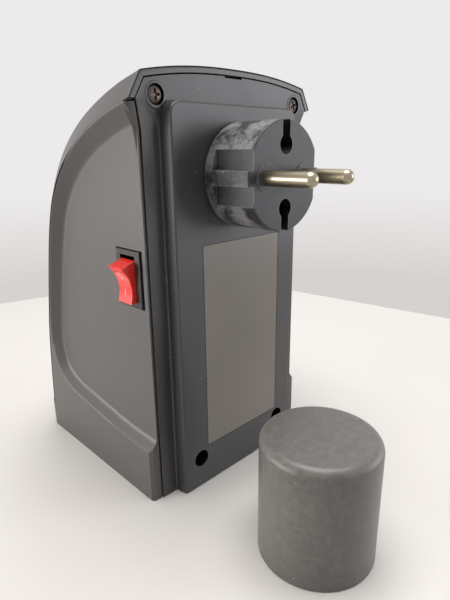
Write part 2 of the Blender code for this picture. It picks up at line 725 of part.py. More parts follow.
def grille_prism(name, grow):
    """Block that reaches through the hood where the grille sits."""
    outline = rounded_rectangle((-GRILLE_HALF_WIDTH - grow, GRILLE_LOW - grow),
                                (GRILLE_HALF_WIDTH + grow, GRILLE_HIGH + grow), GRILLE_FRAME + grow)
    return plate(name, [outline], -HEATER_FRONT_Y, DEPTH, ALONG_Y)


def build_hood(paint):
    hood = hood_skin("front_cover", HOOD_WALL, paint)
    reach = SEAM_HALF_WIDTH + OVERRUN
    back = block("hood_back_cut", (-reach, HOOD_BACK_Y, 0), (reach, PLATE_Y + OVERRUN, CORNER_HEIGHT * 2))
    foot = block("hood_foot_cut", (-reach, -DEPTH, -OVERRUN), (reach, PLATE_Y, HOOD_FOOT_HEIGHT))
    inner = front_profile(SEAM_INSET, PLATE_Y, -OVERRUN, at_seam=True) + [Vector((PLATE_Y, -OVERRUN))]
    seam = plate("hood_seam_cut", [inner], -reach, reach, ALONG_X)
    control = control_frame()
    window = plate("hood_window_cut", [display_window(0)], -CONTROL_BOARD_DEPTH, CONTROL_BOARD_DEPTH,
                   control)
    cut(hood, back, foot, seam, window, grille_prism("hood_grille_cut", 0))
    for k, x in enumerate(button_places()):
        hole = rod("hood_button_cut_%d" % (k + 1),
                   control @ Vector((x, -BUTTON_DOWN, -CONTROL_BOARD_DEPTH)),
                   control @ Vector((x, -BUTTON_DOWN, CONTROL_BOARD_DEPTH)), BUTTON_RADIUS + GAP,
                   steps=SMALL_ROUND_STEPS)
        cut(hood, hole)
    for side in (-1, 1):
        name = "left" if side < 0 else "right"
        post_start = COVER_INNER_Y - GAP
        post = rod("hood_post_" + name, (side * TOP_SCREW_X, post_start, TOP_SCREW_Z),
                   (side * TOP_SCREW_X, post_start - 2 * POST_RADIUS, TOP_SCREW_Z), POST_RADIUS,
                   steps=SMALL_ROUND_STEPS)
        bore = rod("hood_post_bore_" + name, (side * TOP_SCREW_X, post_start + OVERRUN, TOP_SCREW_Z),
                   (side * TOP_SCREW_X, post_start - SCREW_LENGTH / 2 - GAP, TOP_SCREW_Z),
                   SCREW_SHANK_RADIUS + GAP, steps=SMALL_ROUND_STEPS)
        boss = rod("hood_boss_" + name,
                   control @ Vector((side * CONTROL_BOSS_X, CONTROL_BOSS_UP, GAP - CONTROL_BOARD_DEPTH)),
                   control @ Vector((side * CONTROL_BOSS_X, CONTROL_BOSS_UP, 0)),
                   CONTROL_BOSS_RADIUS, steps=SMALL_ROUND_STEPS)
        fuse(hood, post, boss)
        cut(hood, bore)
    return hood


def build_grille(paint):
    grille = hood_skin("outlet_grille", HOOD_WALL, paint)
    keep_inside(grille, grille_prism("grille_edge", -GAP))
    split_faces(grille)
    low = GRILLE_LOW + GRILLE_FRAME
    rows = int((GRILLE_HIGH - GRILLE_FRAME - low) / GRILLE_PITCH)
    half = GRILLE_HALF_WIDTH - GRILLE_FRAME
    start = (low + GRILLE_HIGH - GRILLE_FRAME - rows * GRILLE_PITCH + GRILLE_PITCH - GRILLE_SLOT) / 2
    lean = Matrix.Rotation(GRILLE_LEAN, 4, 'X')
    slots = []
    reach = DEPTH * GRILLE_CUT_SHARE / 2
    for row in range(rows):
        middle = Vector((0, -DEPTH * GRILLE_PLACE_SHARE, start + row * GRILLE_PITCH + GRILLE_SLOT / 2))
        turn = Matrix.Translation(middle) @ lean
        boxes = [((-half, -reach, -GRILLE_SLOT / 2), (-GRILLE_RIB / 2, reach, GRILLE_SLOT / 2)),
                 ((GRILLE_RIB / 2, -reach, -GRILLE_SLOT / 2), (half, reach, GRILLE_SLOT / 2))]
        slots.append(several("grille_slot_%d" % (row + 1), boxes, turn))
    cut(grille, *slots)
    return grille


def build_display(lens_paint, digit_paint):
    control = control_frame()
    lens = hood_skin("display_lens", LENS_THICKNESS, lens_paint)
    keep_inside(lens, plate("lens_edge", [display_window(-GAP)], -CONTROL_BOARD_DEPTH,
                            CONTROL_BOARD_DEPTH, control))
    board_top = -CONTROL_BOARD_DEPTH
    low = (-DIGITS_WIDTH / 2, DISPLAY_UP - DIGITS_HEIGHT / 2, board_top + GAP)
    high = (DIGITS_WIDTH / 2, DISPLAY_UP + DIGITS_HEIGHT / 2, board_top + GAP + DIGITS_THICKNESS)
    block("led_display", low, high, digit_paint, control)


def build_control_board(paint, tact_paint):
    control = control_frame()
    half = CONTROL_BOARD_WIDTH / 2
    block("control_board", (-half, -CONTROL_BOARD_HEIGHT / 2, -CONTROL_BOARD_DEPTH - BOARD_THICKNESS),
          (half, CONTROL_BOARD_HEIGHT / 2, -CONTROL_BOARD_DEPTH), paint, control)
    for k, x in enumerate(button_places()):
        base = GAP - CONTROL_BOARD_DEPTH
        tact = block("tact_switch_%d" % (k + 1), (x - TACT_SIZE / 2, -BUTTON_DOWN - TACT_SIZE / 2, base),
                     (x + TACT_SIZE / 2, -BUTTON_DOWN + TACT_SIZE / 2, base + TACT_HEIGHT), tact_paint,
                     control)
        plunger = rod("tact_plunger_%d" % (k + 1), control @ Vector((x, -BUTTON_DOWN, base)),
                      control @ Vector((x, -BUTTON_DOWN, base + TACT_HEIGHT + BUTTON_TRAVEL)),
                      BUTTON_STEM_RADIUS, steps=SMALL_ROUND_STEPS)
        fuse(tact, plunger)


def button_height(x):
    """Height of the hood's outer face over the control frame, where a button stands."""
    control = control_frame()
    profile = front_profile(0, HOOD_BACK_Y, HOOD_FOOT_HEIGHT)
    inverse = control.inverted()
    local = [inverse @ Vector((0, p.x, p.y)) for p in profile]
    above = [p for p in local if p.y > -BUTTON_DOWN][-1]
    below = [p for p in local if p.y <= -BUTTON_DOWN][0]
    share = (above.y + BUTTON_DOWN) / (above.y - below.y)
    rise = CROWN * (1 - (abs(x) / CORNER_HALF_WIDTH) ** CROWN_POWER)
    return above.z + (below.z - above.z) * share + rise


def build_buttons(paint):
    control = control_frame()
    foot = GAP - CONTROL_BOARD_DEPTH + TACT_HEIGHT + 2 * BUTTON_TRAVEL + GAP
    for k, x in enumerate(button_places()):
        face = button_height(x)
        flange_top = face - HOOD_WALL - 3 * GAP
        crown = face + BUTTON_PROUD
        edge = BUTTON_PROUD / 3
        profile = [(0, crown), (BUTTON_RADIUS - 3 * edge, crown - edge / 4),
                   (BUTTON_RADIUS - edge, crown - edge), (BUTTON_RADIUS, crown - 2 * edge),
                   (BUTTON_RADIUS, flange_top), (BUTTON_FLANGE_RADIUS, flange_top),
                   (BUTTON_FLANGE_RADIUS, flange_top - BUTTON_FLANGE_THICKNESS),
                   (BUTTON_STEM_RADIUS, flange_top - BUTTON_FLANGE_THICKNESS),
                   (BUTTON_STEM_RADIUS, foot), (0, foot)]
        turned("button_%d" % (k + 1), profile, control @ Matrix.Translation((x, -BUTTON_DOWN, 0)), paint,
               SMALL_ROUND_STEPS)


# Main housing

def panel_outline(grow):
    """Outline of the inset side panel in the side view, grown by a distance."""
    front = front_profile(PANEL_INSET, PLATE_Y + DEPTH * PANEL_OVERRUN_SHARE, PANEL_FRONT_HEIGHT)
    rise = PANEL_FRONT_HEIGHT - PANEL_LOW_HEIGHT
    low = [Vector((PLATE_Y - d * DEPTH, PANEL_LOW_HEIGHT + h * rise)) for d, h in PANEL_LOW_EDGE_SHARES]
    low.append(Vector((PLATE_Y + DEPTH * PANEL_OVERRUN_SHARE, PANEL_LOW_HEIGHT)))
    return offset_outline(front + low, grow)


def panel_cutter(name):
    """Tapered block that sinks the side panel at +X and leaves a bevel round it."""
    sections = []
    for share in (0, BEVEL_REACH_SHARE):
        x = SIDE_PANEL_X + PANEL_BEVEL_RISE * share
        sections.append([(x, p.x, p.y) for p in panel_outline(PANEL_BEVEL_WIDTH * share)])
    return loft(name, sections)


def cover_envelope(grow, inner_y):
    """Room that the back cover takes in the housing, open to the back."""
    outline = offset_outline(cover_outline(COVER_ARCH_GAP), grow)
    outline = [Vector((p.x, p.y if p.y > COVER_BOTTOM else -OVERRUN)) for p in outline]
    return plate("housing_cover_cut", [outline], -inner_y, -PLATE_Y - OVERRUN, ALONG_Y)


def scale_widths(obj):
    """Draws the width of a solid in towards the floor."""
    for vert in obj.data.vertices:
        vert.co.x *= width_share(vert.co.z)


def intake_boxes():
    boxes = []
    for k in range(INTAKE_SLOTS):
        up = (k - (INTAKE_SLOTS - 1) / 2) * INTAKE_PITCH
        half = (INTAKE_RADIUS ** 2 - up ** 2) ** 0.5
        low = (-SEAM_HALF_WIDTH, FAN_Y - half, FAN_Z + up - INTAKE_SLOT / 2)
        high = (-SIDE_PANEL_X + SIDE_WALL + OVERRUN, FAN_Y + half, FAN_Z + up + INTAKE_SLOT / 2)
        boxes.append((low, high))
    return boxes


def build_housing(paint):
    inset = SEAM_INSET + SEAM_GAP
    outline = front_profile(inset, HOUSING_BACK_Y, 0, at_seam=True) + [Vector((HOUSING_BACK_Y, 0))]
    housing = plate("main_housing", [outline], -SEAM_HALF_WIDTH, SEAM_HALF_WIDTH, ALONG_X, paint)
    scale_widths(housing)
    foot_half = SEAM_HALF_WIDTH * FOOT_WIDTH_SHARE
    radius = PLINTH_CORNER_RADIUS
    front = PLATE_Y - DEPTH + PLINTH_FRONT_INSET
    plinth_outline = ([Vector((foot_half, HOUSING_BACK_Y)), Vector((-foot_half, HOUSING_BACK_Y))]
                      + arc((radius - foot_half, front + radius), radius, pi, 1.5 * pi, CORNER_STEPS)
                      + arc((foot_half - radius, front + radius), radius, 1.5 * pi, 2 * pi,
                            CORNER_STEPS))
    plinth = plate("housing_plinth", [plinth_outline], 0, PLINTH_HEIGHT, ALONG_Z)
    fuse(housing, plinth)
    inner_x = SIDE_PANEL_X - SIDE_WALL
    room = block("housing_room", (-inner_x, front + FLOOR_WALL, FLOOR_WALL),
                 (inner_x, PLATE_Y + OVERRUN, CORNER_HEIGHT + OVERRUN))
    out_x = foot_half + OVERRUN
    out_y = HOUSING_BACK_Y + OVERRUN
    reach = HOUSING_BACK_CHAMFER + 2 * OVERRUN
    edge = [Vector((out_x, out_y)), Vector((out_x - reach, out_y)), Vector((out_x, out_y - reach))]
    chamfer = plate("housing_chamfer_cut", [edge], -OVERRUN, PANEL_LOW_HEIGHT + PANEL_BEVEL_WIDTH, ALONG_Z)
    cut(housing, room, cover_envelope(GAP, COVER_INNER_Y - GAP), chamfer)
    add_post_and_ledge(housing, inner_x)
    cut(housing, panel_cutter("panel_cut"))
    mirror_from_right(housing)
    add_stands(housing)
    cut(housing, several("housing_intake", intake_boxes()))
    cut_switch_hole(housing)
    return housing


def cut_switch_hole(housing):
    half_w = BEZEL_WIDTH / 2
    half_h = BEZEL_HEIGHT / 2
    pocket_floor = SIDE_PANEL_X - BEZEL_THICKNESS - GAP
    pocket = block("switch_pocket", (pocket_floor, SWITCH_Y - half_w - GAP, SWITCH_Z - half_h - GAP),
                   (SEAM_HALF_WIDTH, SWITCH_Y + half_w + BEZEL_BACK_GAP, SWITCH_Z + half_h + GAP))
    body_w = SWITCH_BODY_WIDTH / 2 + GAP
    body_h = SWITCH_BODY_HEIGHT / 2 + GAP
    hole = block("switch_hole", (SIDE_PANEL_X - SIDE_WALL - OVERRUN, SWITCH_Y - body_w, SWITCH_Z - body_h),
                 (SEAM_HALF_WIDTH, SWITCH_Y + body_w, SWITCH_Z + body_h))
    cut(housing, pocket, hole)


def add_post_and_ledge(housing, inner_x):
    """Screw post with its web, and the ledge of the power board, on the +X side."""
    post_y = PLATE_Y - LOW_HOLE_DEPTH - LOW_BOSS_FLOOR - GAP
    end_y = post_y - POST_LENGTH
    post = rod("low_post", (LOW_SCREW_X, post_y, LOW_SCREW_Z), (LOW_SCREW_X, end_y, LOW_SCREW_Z),
               POST_RADIUS, steps=SMALL_ROUND_STEPS)
    half = POST_RADIUS / 3
    web = block("low_web", (LOW_SCREW_X - half, end_y + half, FLOOR_WALL / 2),
                (LOW_SCREW_X + half, post_y - half, LOW_SCREW_Z - POST_RADIUS / 2))
    bore = rod("low_bore", (LOW_SCREW_X, post_y + OVERRUN, LOW_SCREW_Z),
               (LOW_SCREW_X, post_y - SCREW_LENGTH + GAP, LOW_SCREW_Z), SCREW_SHANK_RADIUS + GAP,
               steps=SMALL_ROUND_STEPS)
    ledge_y = PLATE_Y - LEDGE_INSET
    ledge_top = POWER_BOARD_Z - GAP
    ledge = block("board_ledge",
                  (inner_x - LEDGE_WIDTH, ledge_y - LEDGE_LENGTH, ledge_top - LEDGE_THICKNESS),
                  (inner_x + SIDE_WALL / 2, ledge_y, ledge_top))
    fuse(housing, post, web, ledge)
    cut(housing, bore)


def add_stands(housing):
    """Walls on the floor that carry the blower and the heater."""
    scroll_foot = FAN_Z - SCROLL_START_RADIUS - SCROLL_GROWTH - SCROLL_WALL - GAP
    stand = block("blower_stand", (SCROLL_MIDDLE_X - STAND_WIDTH / 2, FAN_Y - STAND_WALL, FLOOR_WALL / 2),
                  (SCROLL_MIDDLE_X + STAND_WIDTH / 2, FAN_Y, scroll_foot))
    heater_foot = HEATER_Z - HEATER_HEIGHT / 2 - GAP
    middle = (HEATER_BACK_Y + HEATER_FRONT_Y) / 2
    rest = block("heater_stand", (-HEATER_WIDTH / 3, middle - STAND_WALL / 2, FLOOR_WALL / 2),
                 (HEATER_WIDTH / 3, middle + STAND_WALL / 2, heater_foot))
    fuse(housing, stand, rest)


# Back cover and what is on it

def cover_outline(arch_gap):
    """Outline of the back cover, seen along Y: anticlockwise in (x, z)."""
    arch = hood_section(HOOD_WALL + arch_gap)
    arch = [Vector((p.x, CORNER_HEIGHT + p.y)) for p in arch]
    right = [Vector((COVER_HALF_WIDTH, COVER_BOTTOM)), Vector((COVER_HALF_WIDTH, COVER_SLOPE_FOOT))]
    half = right + list(reversed(arch))
    return half + [Vector((-p.x, p.y)) for p in reversed(half[:-1])]


def raised_plate(name, grow, back_y, face_y):
    """Raised middle of the back cover: a little wider at its foot than at its face."""
    sections = []
    for y, half in ((back_y, PLATE_FOOT_HALF_WIDTH), (face_y, PLATE_HALF_WIDTH)):
        width = half + grow
        top = PLATE_TOP + grow + half - PLATE_HALF_WIDTH
        radius = PLATE_CORNER_RADIUS + grow
        outline = ([Vector((-width, COVER_BOTTOM - grow)), Vector((width, COVER_BOTTOM - grow))]
                   + arc((width - radius, top - radius), radius, 0, pi / 2, CORNER_STEPS)
                   + arc((radius - width, top - radius), radius, pi / 2, pi, CORNER_STEPS))
        sections.append([(p.x, y, p.y) for p in outline])
    return loft(name, sections)


def build_back_cover(paint):
    cover = plate("back_cover", [cover_outline(COVER_ARCH_INNER_GAP)], -FLANK_Y, -COVER_INNER_Y, ALONG_Y,
                  paint)
    sections = []
    for y, gap in ((COVER_INNER_Y + COVER_WALL / 2, COVER_ARCH_INNER_GAP), (COVER_TOP_Y, COVER_ARCH_GAP)):
        sections.append([(p.x, y, p.y) for p in cover_outline(gap) if p.y > COVER_SLOPE_FOOT])
    pad = loft("cover_top_pad", sections)
    wide = SEAM_HALF_WIDTH
    slope = plate("cover_slope_cut", [[Vector((COVER_TOP_Y, COVER_SLOPE_TOP)),
                                       Vector((FLANK_Y, COVER_SLOPE_FOOT)),
                                       Vector((FLANK_Y, COVER_SLOPE_FOOT - OVERRUN)),
                                       Vector((PLATE_Y, COVER_SLOPE_FOOT - OVERRUN)),
                                       Vector((PLATE_Y, COVER_SLOPE_TOP))]], -wide, wide, ALONG_X)
    cut(pad, slope)
    fuse(cover, pad)
    fuse(cover, raised_plate("cover_plate", 0, FLANK_Y - COVER_WALL / 2, PLATE_Y))
    hollow = raised_plate("cover_hollow", -COVER_WALL, COVER_INNER_Y - OVERRUN, PLATE_Y - COVER_WALL)
    cut(cover, hollow)
    for side in (-1, 1):
        name = "left" if side < 0 else "right"
        x = side * TOP_SCREW_X
        lobe = rod("cover_lobe_" + name, (x, COVER_INNER_Y + COVER_WALL / 2, TOP_SCREW_Z),
                   (x, COVER_TOP_Y, TOP_SCREW_Z), TOP_LOBE_RADIUS)
        seat = rod("cover_seat_" + name, (x, COVER_TOP_Y - SCREW_HEAD_HEIGHT - GAP, TOP_SCREW_Z),
                   (x, PLATE_Y - COVER_WALL / 3, TOP_SCREW_Z), SCREW_SEAT_RADIUS)
        bore = rod("cover_bore_" + name, (x, COVER_INNER_Y - OVERRUN, TOP_SCREW_Z),
                   (x, COVER_TOP_Y, TOP_SCREW_Z), SCREW_SHANK_RADIUS + GAP, steps=SMALL_ROUND_STEPS)
        fuse(cover, lobe)
        cut(cover, seat, bore)
        low_x = side * LOW_SCREW_X
        boss_end = PLATE_Y - LOW_HOLE_DEPTH - LOW_BOSS_FLOOR
        boss = rod("cover_boss_" + name, (low_x, PLATE_Y - COVER_WALL / 2, LOW_SCREW_Z),
                   (low_x, boss_end, LOW_SCREW_Z), LOW_HOLE_RADIUS + LOW_BOSS_WALL)
        deep = rod("cover_deep_" + name, (low_x, PLATE_Y + OVERRUN, LOW_SCREW_Z),
                   (low_x, PLATE_Y - LOW_HOLE_DEPTH, LOW_SCREW_Z), LOW_HOLE_RADIUS)
        thin = rod("cover_thin_" + name, (low_x, PLATE_Y, LOW_SCREW_Z),
                   (low_x, boss_end - OVERRUN, LOW_SCREW_Z), SCREW_SHANK_RADIUS + GAP,
                   steps=SMALL_ROUND_STEPS)
        fuse(cover, boss)
        cut(cover, deep, thin)
    neck = rod("cover_neck_hole", (0, COVER_INNER_Y - OVERRUN, PLUG_Z), (0, PLATE_Y + OVERRUN, PLUG_Z),
               PLUG_NECK_RADIUS + GAP)
    label = block("cover_label_pocket",
                  (LABEL_X - LABEL_WIDTH / 2 - GAP, PLATE_Y - LABEL_POCKET, LABEL_LOW - GAP),
                  (LABEL_X + LABEL_WIDTH / 2 + GAP, PLATE_Y + OVERRUN, LABEL_HIGH + GAP))
    crest = CORNER_HEIGHT + CROWN - HOOD_WALL - COVER_ARCH_GAP
    snap = block("cover_snap_slot",
                 (-SNAP_SLOT_WIDTH / 2, COVER_INNER_Y - OVERRUN, crest - SNAP_SLOT_DEPTH),
                 (SNAP_SLOT_WIDTH / 2, PLATE_Y, crest + OVERRUN))
    cut(cover, neck, label, snap)
    return cover


def build_label(paint):
    block("rating_label", (LABEL_X - LABEL_WIDTH / 2, PLATE_Y - LABEL_THICKNESS, LABEL_LOW),
          (LABEL_X + LABEL_WIDTH / 2, PLATE_Y, LABEL_HIGH), paint)


def build_screw(name, x, seat_y, z, length, paint):
    """Pan head screw with a cross recess; the head rests on seat_y and faces +Y."""
    crown = seat_y + SCREW_HEAD_HEIGHT
    place = Matrix.Translation((x, 0, z)) @ Matrix.Rotation(-pi / 2, 4, 'X')
    chamfer = SCREW_HEAD_HEIGHT / 3
    profile = [(0, crown), (SCREW_HEAD_RADIUS - chamfer, crown), (SCREW_HEAD_RADIUS, crown - chamfer),
               (SCREW_HEAD_RADIUS, seat_y), (SCREW_SHANK_RADIUS, seat_y),
               (SCREW_SHANK_RADIUS, seat_y - length), (0, seat_y - length)]
    screw = turned(name, profile, place, paint, SMALL_ROUND_STEPS)
    low_y = crown - SCREW_CROSS_DEPTH
    half = SCREW_CROSS_LENGTH / 2
    thin = SCREW_CROSS_WIDTH / 2
    for k, (a, b) in enumerate(((half, thin), (thin, half))):
        cut(screw, block(name + "_cross_%d" % k, (x - a, low_y, z - b), (x + a, crown + OVERRUN, z + b)))


def build_screws(paint):
    top_seat = COVER_TOP_Y - SCREW_HEAD_HEIGHT
    low_seat = PLATE_Y - LOW_HOLE_DEPTH + GAP
    build_screw("top_screw_left", -TOP_SCREW_X, top_seat, TOP_SCREW_Z, SCREW_LENGTH / 2, paint)
    build_screw("top_screw_right", TOP_SCREW_X, top_seat, TOP_SCREW_Z, SCREW_LENGTH / 2, paint)
    build_screw("bottom_screw_left", -LOW_SCREW_X, low_seat, LOW_SCREW_Z, SCREW_LENGTH, paint)
    build_screw("bottom_screw_right", LOW_SCREW_X, low_seat, LOW_SCREW_Z, SCREW_LENGTH, paint)


# Mains plug and its cap

def build_plug(paint, pin_paint, ring_paint, lug_paint):
    place = Matrix.Translation((0, 0, PLUG_Z)) @ Matrix.Rotation(-pi / 2, 4, 'X')
    profile = [(0, PLUG_FACE_Y), (PLUG_RADIUS - PLUG_EDGE, PLUG_FACE_Y),
               (PLUG_RADIUS, PLUG_FACE_Y - PLUG_EDGE), (PLUG_RADIUS, PLUG_BACK_Y + PLUG_EDGE),
               (PLUG_RADIUS - PLUG_EDGE, PLUG_BACK_Y), (PLUG_NECK_RADIUS, PLUG_BACK_Y),
               (PLUG_NECK_RADIUS, PLUG_NECK_Y), (0, PLUG_NECK_Y)]
    plug = turned("plug_body", profile, place, paint, PLUG_ROUND_STEPS)
    reach = PLUG_RADIUS + OVERRUN
    flats = []
    for side in (-1, 1):
        for up in (-1, 1):
            low_x, high_x = sorted((side * PLUG_FLAT_X, side * reach))
            low_z, high_z = sorted((up * PLUG_RIB_WIDTH / 2, up * reach))
            flats.append(((low_x, PLUG_BACK_Y + PLUG_RIM_LENGTH, PLUG_Z + low_z),
                          (high_x, PLUG_FACE_Y + OVERRUN, PLUG_Z + high_z)))
    cut(plug, several("plug_flats", flats))
    for up in (-1, 1):
        name = "top" if up > 0 else "bottom"
        cut(plug, plate("keyhole_" + name, [keyhole_outline(up, reach)], -PLUG_FACE_Y - OVERRUN,
                        KEYHOLE_DEPTH - PLUG_FACE_Y, ALONG_Y))
    for side in (-1, 1):
        name = "left" if side < 0 else "right"
        x = side * PIN_SPACING / 2
        collar = rod("pin_collar_" + name, (x, PLUG_FACE_Y - OVERRUN, PLUG_Z),
                     (x, PLUG_FACE_Y + PIN_COLLAR_HEIGHT, PLUG_Z), PIN_COLLAR_RADIUS,
                     steps=MIDDLE_ROUND_STEPS)
        hole = rod("pin_hole_" + name, (x, PLUG_NECK_Y - OVERRUN, PLUG_Z),
                   (x, PLUG_FACE_Y + OVERRUN, PLUG_Z), PIN_RADIUS + GAP, steps=MIDDLE_ROUND_STEPS)
        fuse(plug, collar)
        cut(plug, hole)
        build_pin("plug_pin_" + name, x, pin_paint)
        lug_y = PLUG_NECK_Y - 2 * GAP
        block("pin_lug_" + name, (x - LUG_WIDTH / 2, lug_y - LUG_THICKNESS, PLUG_Z - LUG_LENGTH),
              (x + LUG_WIDTH / 2, lug_y, PLUG_Z + LUG_WIDTH / 2), lug_paint)
    ring_y = PLATE_Y - COVER_WALL - GAP
    ring = [(PLUG_NECK_RADIUS + GAP, ring_y), (RETAINER_RADIUS, ring_y),
            (RETAINER_RADIUS, ring_y - RETAINER_THICKNESS),
            (PLUG_NECK_RADIUS + GAP, ring_y - RETAINER_THICKNESS), (PLUG_NECK_RADIUS + GAP, ring_y)]
    turned("plug_retainer", ring, place, ring_paint)


def keyhole_outline(up, reach):
    """Round hole with a slot that runs out through the rim of the plug, above or below its axis."""
    half = KEYHOLE_SLOT_WIDTH / 2
    mouth = acos(half / KEYHOLE_RADIUS)
    round_part = arc((0, KEYHOLE_OFFSET), KEYHOLE_RADIUS, pi - mouth, 2 * pi + mouth,
                     KEYHOLE_STEPS)
    points = round_part + [Vector((half, reach)), Vector((-half, reach))]
    return [Vector((p.x, PLUG_Z + up * p.y)) for p in points]


def build_pin(name, x, paint):
    """Round mains pin with a rounded tip."""
    tip = PLUG_FACE_Y + PIN_REACH
    nose = [(PIN_RADIUS * sin(a), tip - PIN_RADIUS * (1 - cos(a)))
            for a in quarter_turn(CORNER_STEPS)]
    profile = nose + [(PIN_RADIUS, PLUG_NECK_Y - GAP), (0, PLUG_NECK_Y - GAP)]
    place = Matrix.Translation((x, 0, PLUG_Z)) @ Matrix.Rotation(-pi / 2, 4, 'X')
    turned(name, profile, place, paint, MIDDLE_ROUND_STEPS)


def build_cap(paint):
    """Cap for the pins and plug, standing mouth down."""
    inner = CAP_RADIUS - CAP_WALL
    edge = CAP_EDGE_RADIUS
    inner_edge = CAP_EDGE_RADIUS - CAP_WALL
    outer = [(CAP_RADIUS - edge + edge * sin(a), CAP_HEIGHT - edge + edge * cos(a))
             for a in quarter_turn(CORNER_STEPS)]
    ceiling = CAP_HEIGHT - CAP_WALL
    inside = [(inner - inner_edge + inner_edge * sin(a), ceiling - inner_edge + inner_edge * cos(a))
              for a in quarter_turn(CORNER_STEPS)]
    profile = ([(0, CAP_HEIGHT)] + outer + [(CAP_RADIUS, 0), (inner, 0)] + list(reversed(inside))
               + [(0, ceiling)])
    turned("plug_cap", profile, Matrix.Translation((CAP_X, CAP_Y, 0)), paint, PLUG_ROUND_STEPS)


# Rocker switch

def rocker_outline():
    """Side view of the rocker about its pivot as (out, up), level."""
    face = []
    for k in range(ROCKER_STEPS + 1):
        share = 2 * k / ROCKER_STEPS - 1
        face.append(Vector((ROCKER_TIP - ROCKER_HOLLOW * (1 - share ** 2), share * ROCKER_HALF_HEIGHT)))
    return face + [Vector((ROCKER_SHOULDER, ROCKER_SHOULDER_HALF_HEIGHT)), Vector((-ROCKER_BELLY, 0)),
                   Vector((ROCKER_SHOULDER, -ROCKER_SHOULDER_HALF_HEIGHT))]


def build_switch(body_paint, rocker_paint, metal_paint):
    half_w = BEZEL_WIDTH / 2
    half_h = BEZEL_HEIGHT / 2
    face_x = SIDE_PANEL_X
    inner_x = face_x - BEZEL_THICKNESS
    end_x = inner_x - SWITCH_BODY_DEPTH
    body_w = SWITCH_BODY_WIDTH / 2
    body_h = SWITCH_BODY_HEIGHT / 2
    switch = block("switch_housing", (inner_x, SWITCH_Y - half_w, SWITCH_Z - half_h),
                   (face_x, SWITCH_Y + half_w, SWITCH_Z + half_h), body_paint)
    body = block("switch_body", (end_x, SWITCH_Y - body_w, SWITCH_Z - body_h),
                 (face_x - BEZEL_THICKNESS / 2, SWITCH_Y + body_w, SWITCH_Z + body_h))
    room_w = ROCKER_WIDTH / 2 + GAP
    room = block("switch_room",
                 (end_x + SWITCH_BODY_WALL, SWITCH_Y - room_w, SWITCH_Z - WINDOW_HALF_HEIGHT),
                 (face_x + OVERRUN, SWITCH_Y + room_w, SWITCH_Z + WINDOW_HALF_HEIGHT))
    pivot = (SIDE_PANEL_X - ROCKER_PIVOT_DEPTH, SWITCH_Y, SWITCH_Z)
    socket = rod("switch_socket", (pivot[0], SWITCH_Y - body_w - OVERRUN, SWITCH_Z),
                 (pivot[0], SWITCH_Y + body_w + OVERRUN, SWITCH_Z), ROCKER_PIN_RADIUS + GAP,
                 steps=SMALL_ROUND_STEPS)
    fuse(switch, body)
    cut(switch, room, socket)
    turn = (Matrix.Translation(pivot) @ Matrix.Rotation(ROCKER_TILT, 4, 'Y')
            @ ALONG_Y)
    pivot_empty = bpy.data.objects.new("rocker_pivot", None)
    Shop.parts.objects.link(pivot_empty)
    pivot_empty.location = pivot
    rocker = plate("rocker", [rocker_outline()], -ROCKER_WIDTH / 2, ROCKER_WIDTH / 2, turn, rocker_paint)
    pin_reach = body_w - GAP
    pin = rod("rocker_pin", (pivot[0], SWITCH_Y - pin_reach, SWITCH_Z),
              (pivot[0], SWITCH_Y + pin_reach, SWITCH_Z), ROCKER_PIN_RADIUS, steps=SMALL_ROUND_STEPS)
    fuse(rocker, pin)
    rocker.parent = pivot_empty
    rocker.matrix_parent_inverse = Matrix.Translation(pivot).inverted()
    for k, up in enumerate((-1, 1)):
        z = SWITCH_Z + up * TERMINAL_SPACING / 2
        low = (end_x - GAP - TERMINAL_LENGTH, SWITCH_Y - TERMINAL_WIDTH / 2, z - TERMINAL_THICKNESS / 2)
        high = (end_x - GAP, SWITCH_Y + TERMINAL_WIDTH / 2, z + TERMINAL_THICKNESS / 2)
        block("switch_terminal_%d" % (k + 1), low, high, metal_paint)


# Blower

def scroll_radius(angle):
    """Radius of the scroll: widest at the bottom, where angle is zero, and less with each turn."""
    return SCROLL_START_RADIUS + SCROLL_GROWTH * (1 - angle / (2 * pi))


def scroll_outline(grow, outlet_y):
    """Outline of the blower in the side view (y, z), grown outwards from the air's side."""
    spiral = []
    for k in range(SCROLL_STEPS + 1):
        angle = SCROLL_TONGUE * k / SCROLL_STEPS
        radius = scroll_radius(angle) + grow
        spiral.append(Vector((FAN_Y + radius * sin(angle), FAN_Z - radius * cos(angle))))
    tongue = spiral[-1].y
    low = spiral[0].y
    return spiral + [Vector((outlet_y, tongue)), Vector((outlet_y, low))]


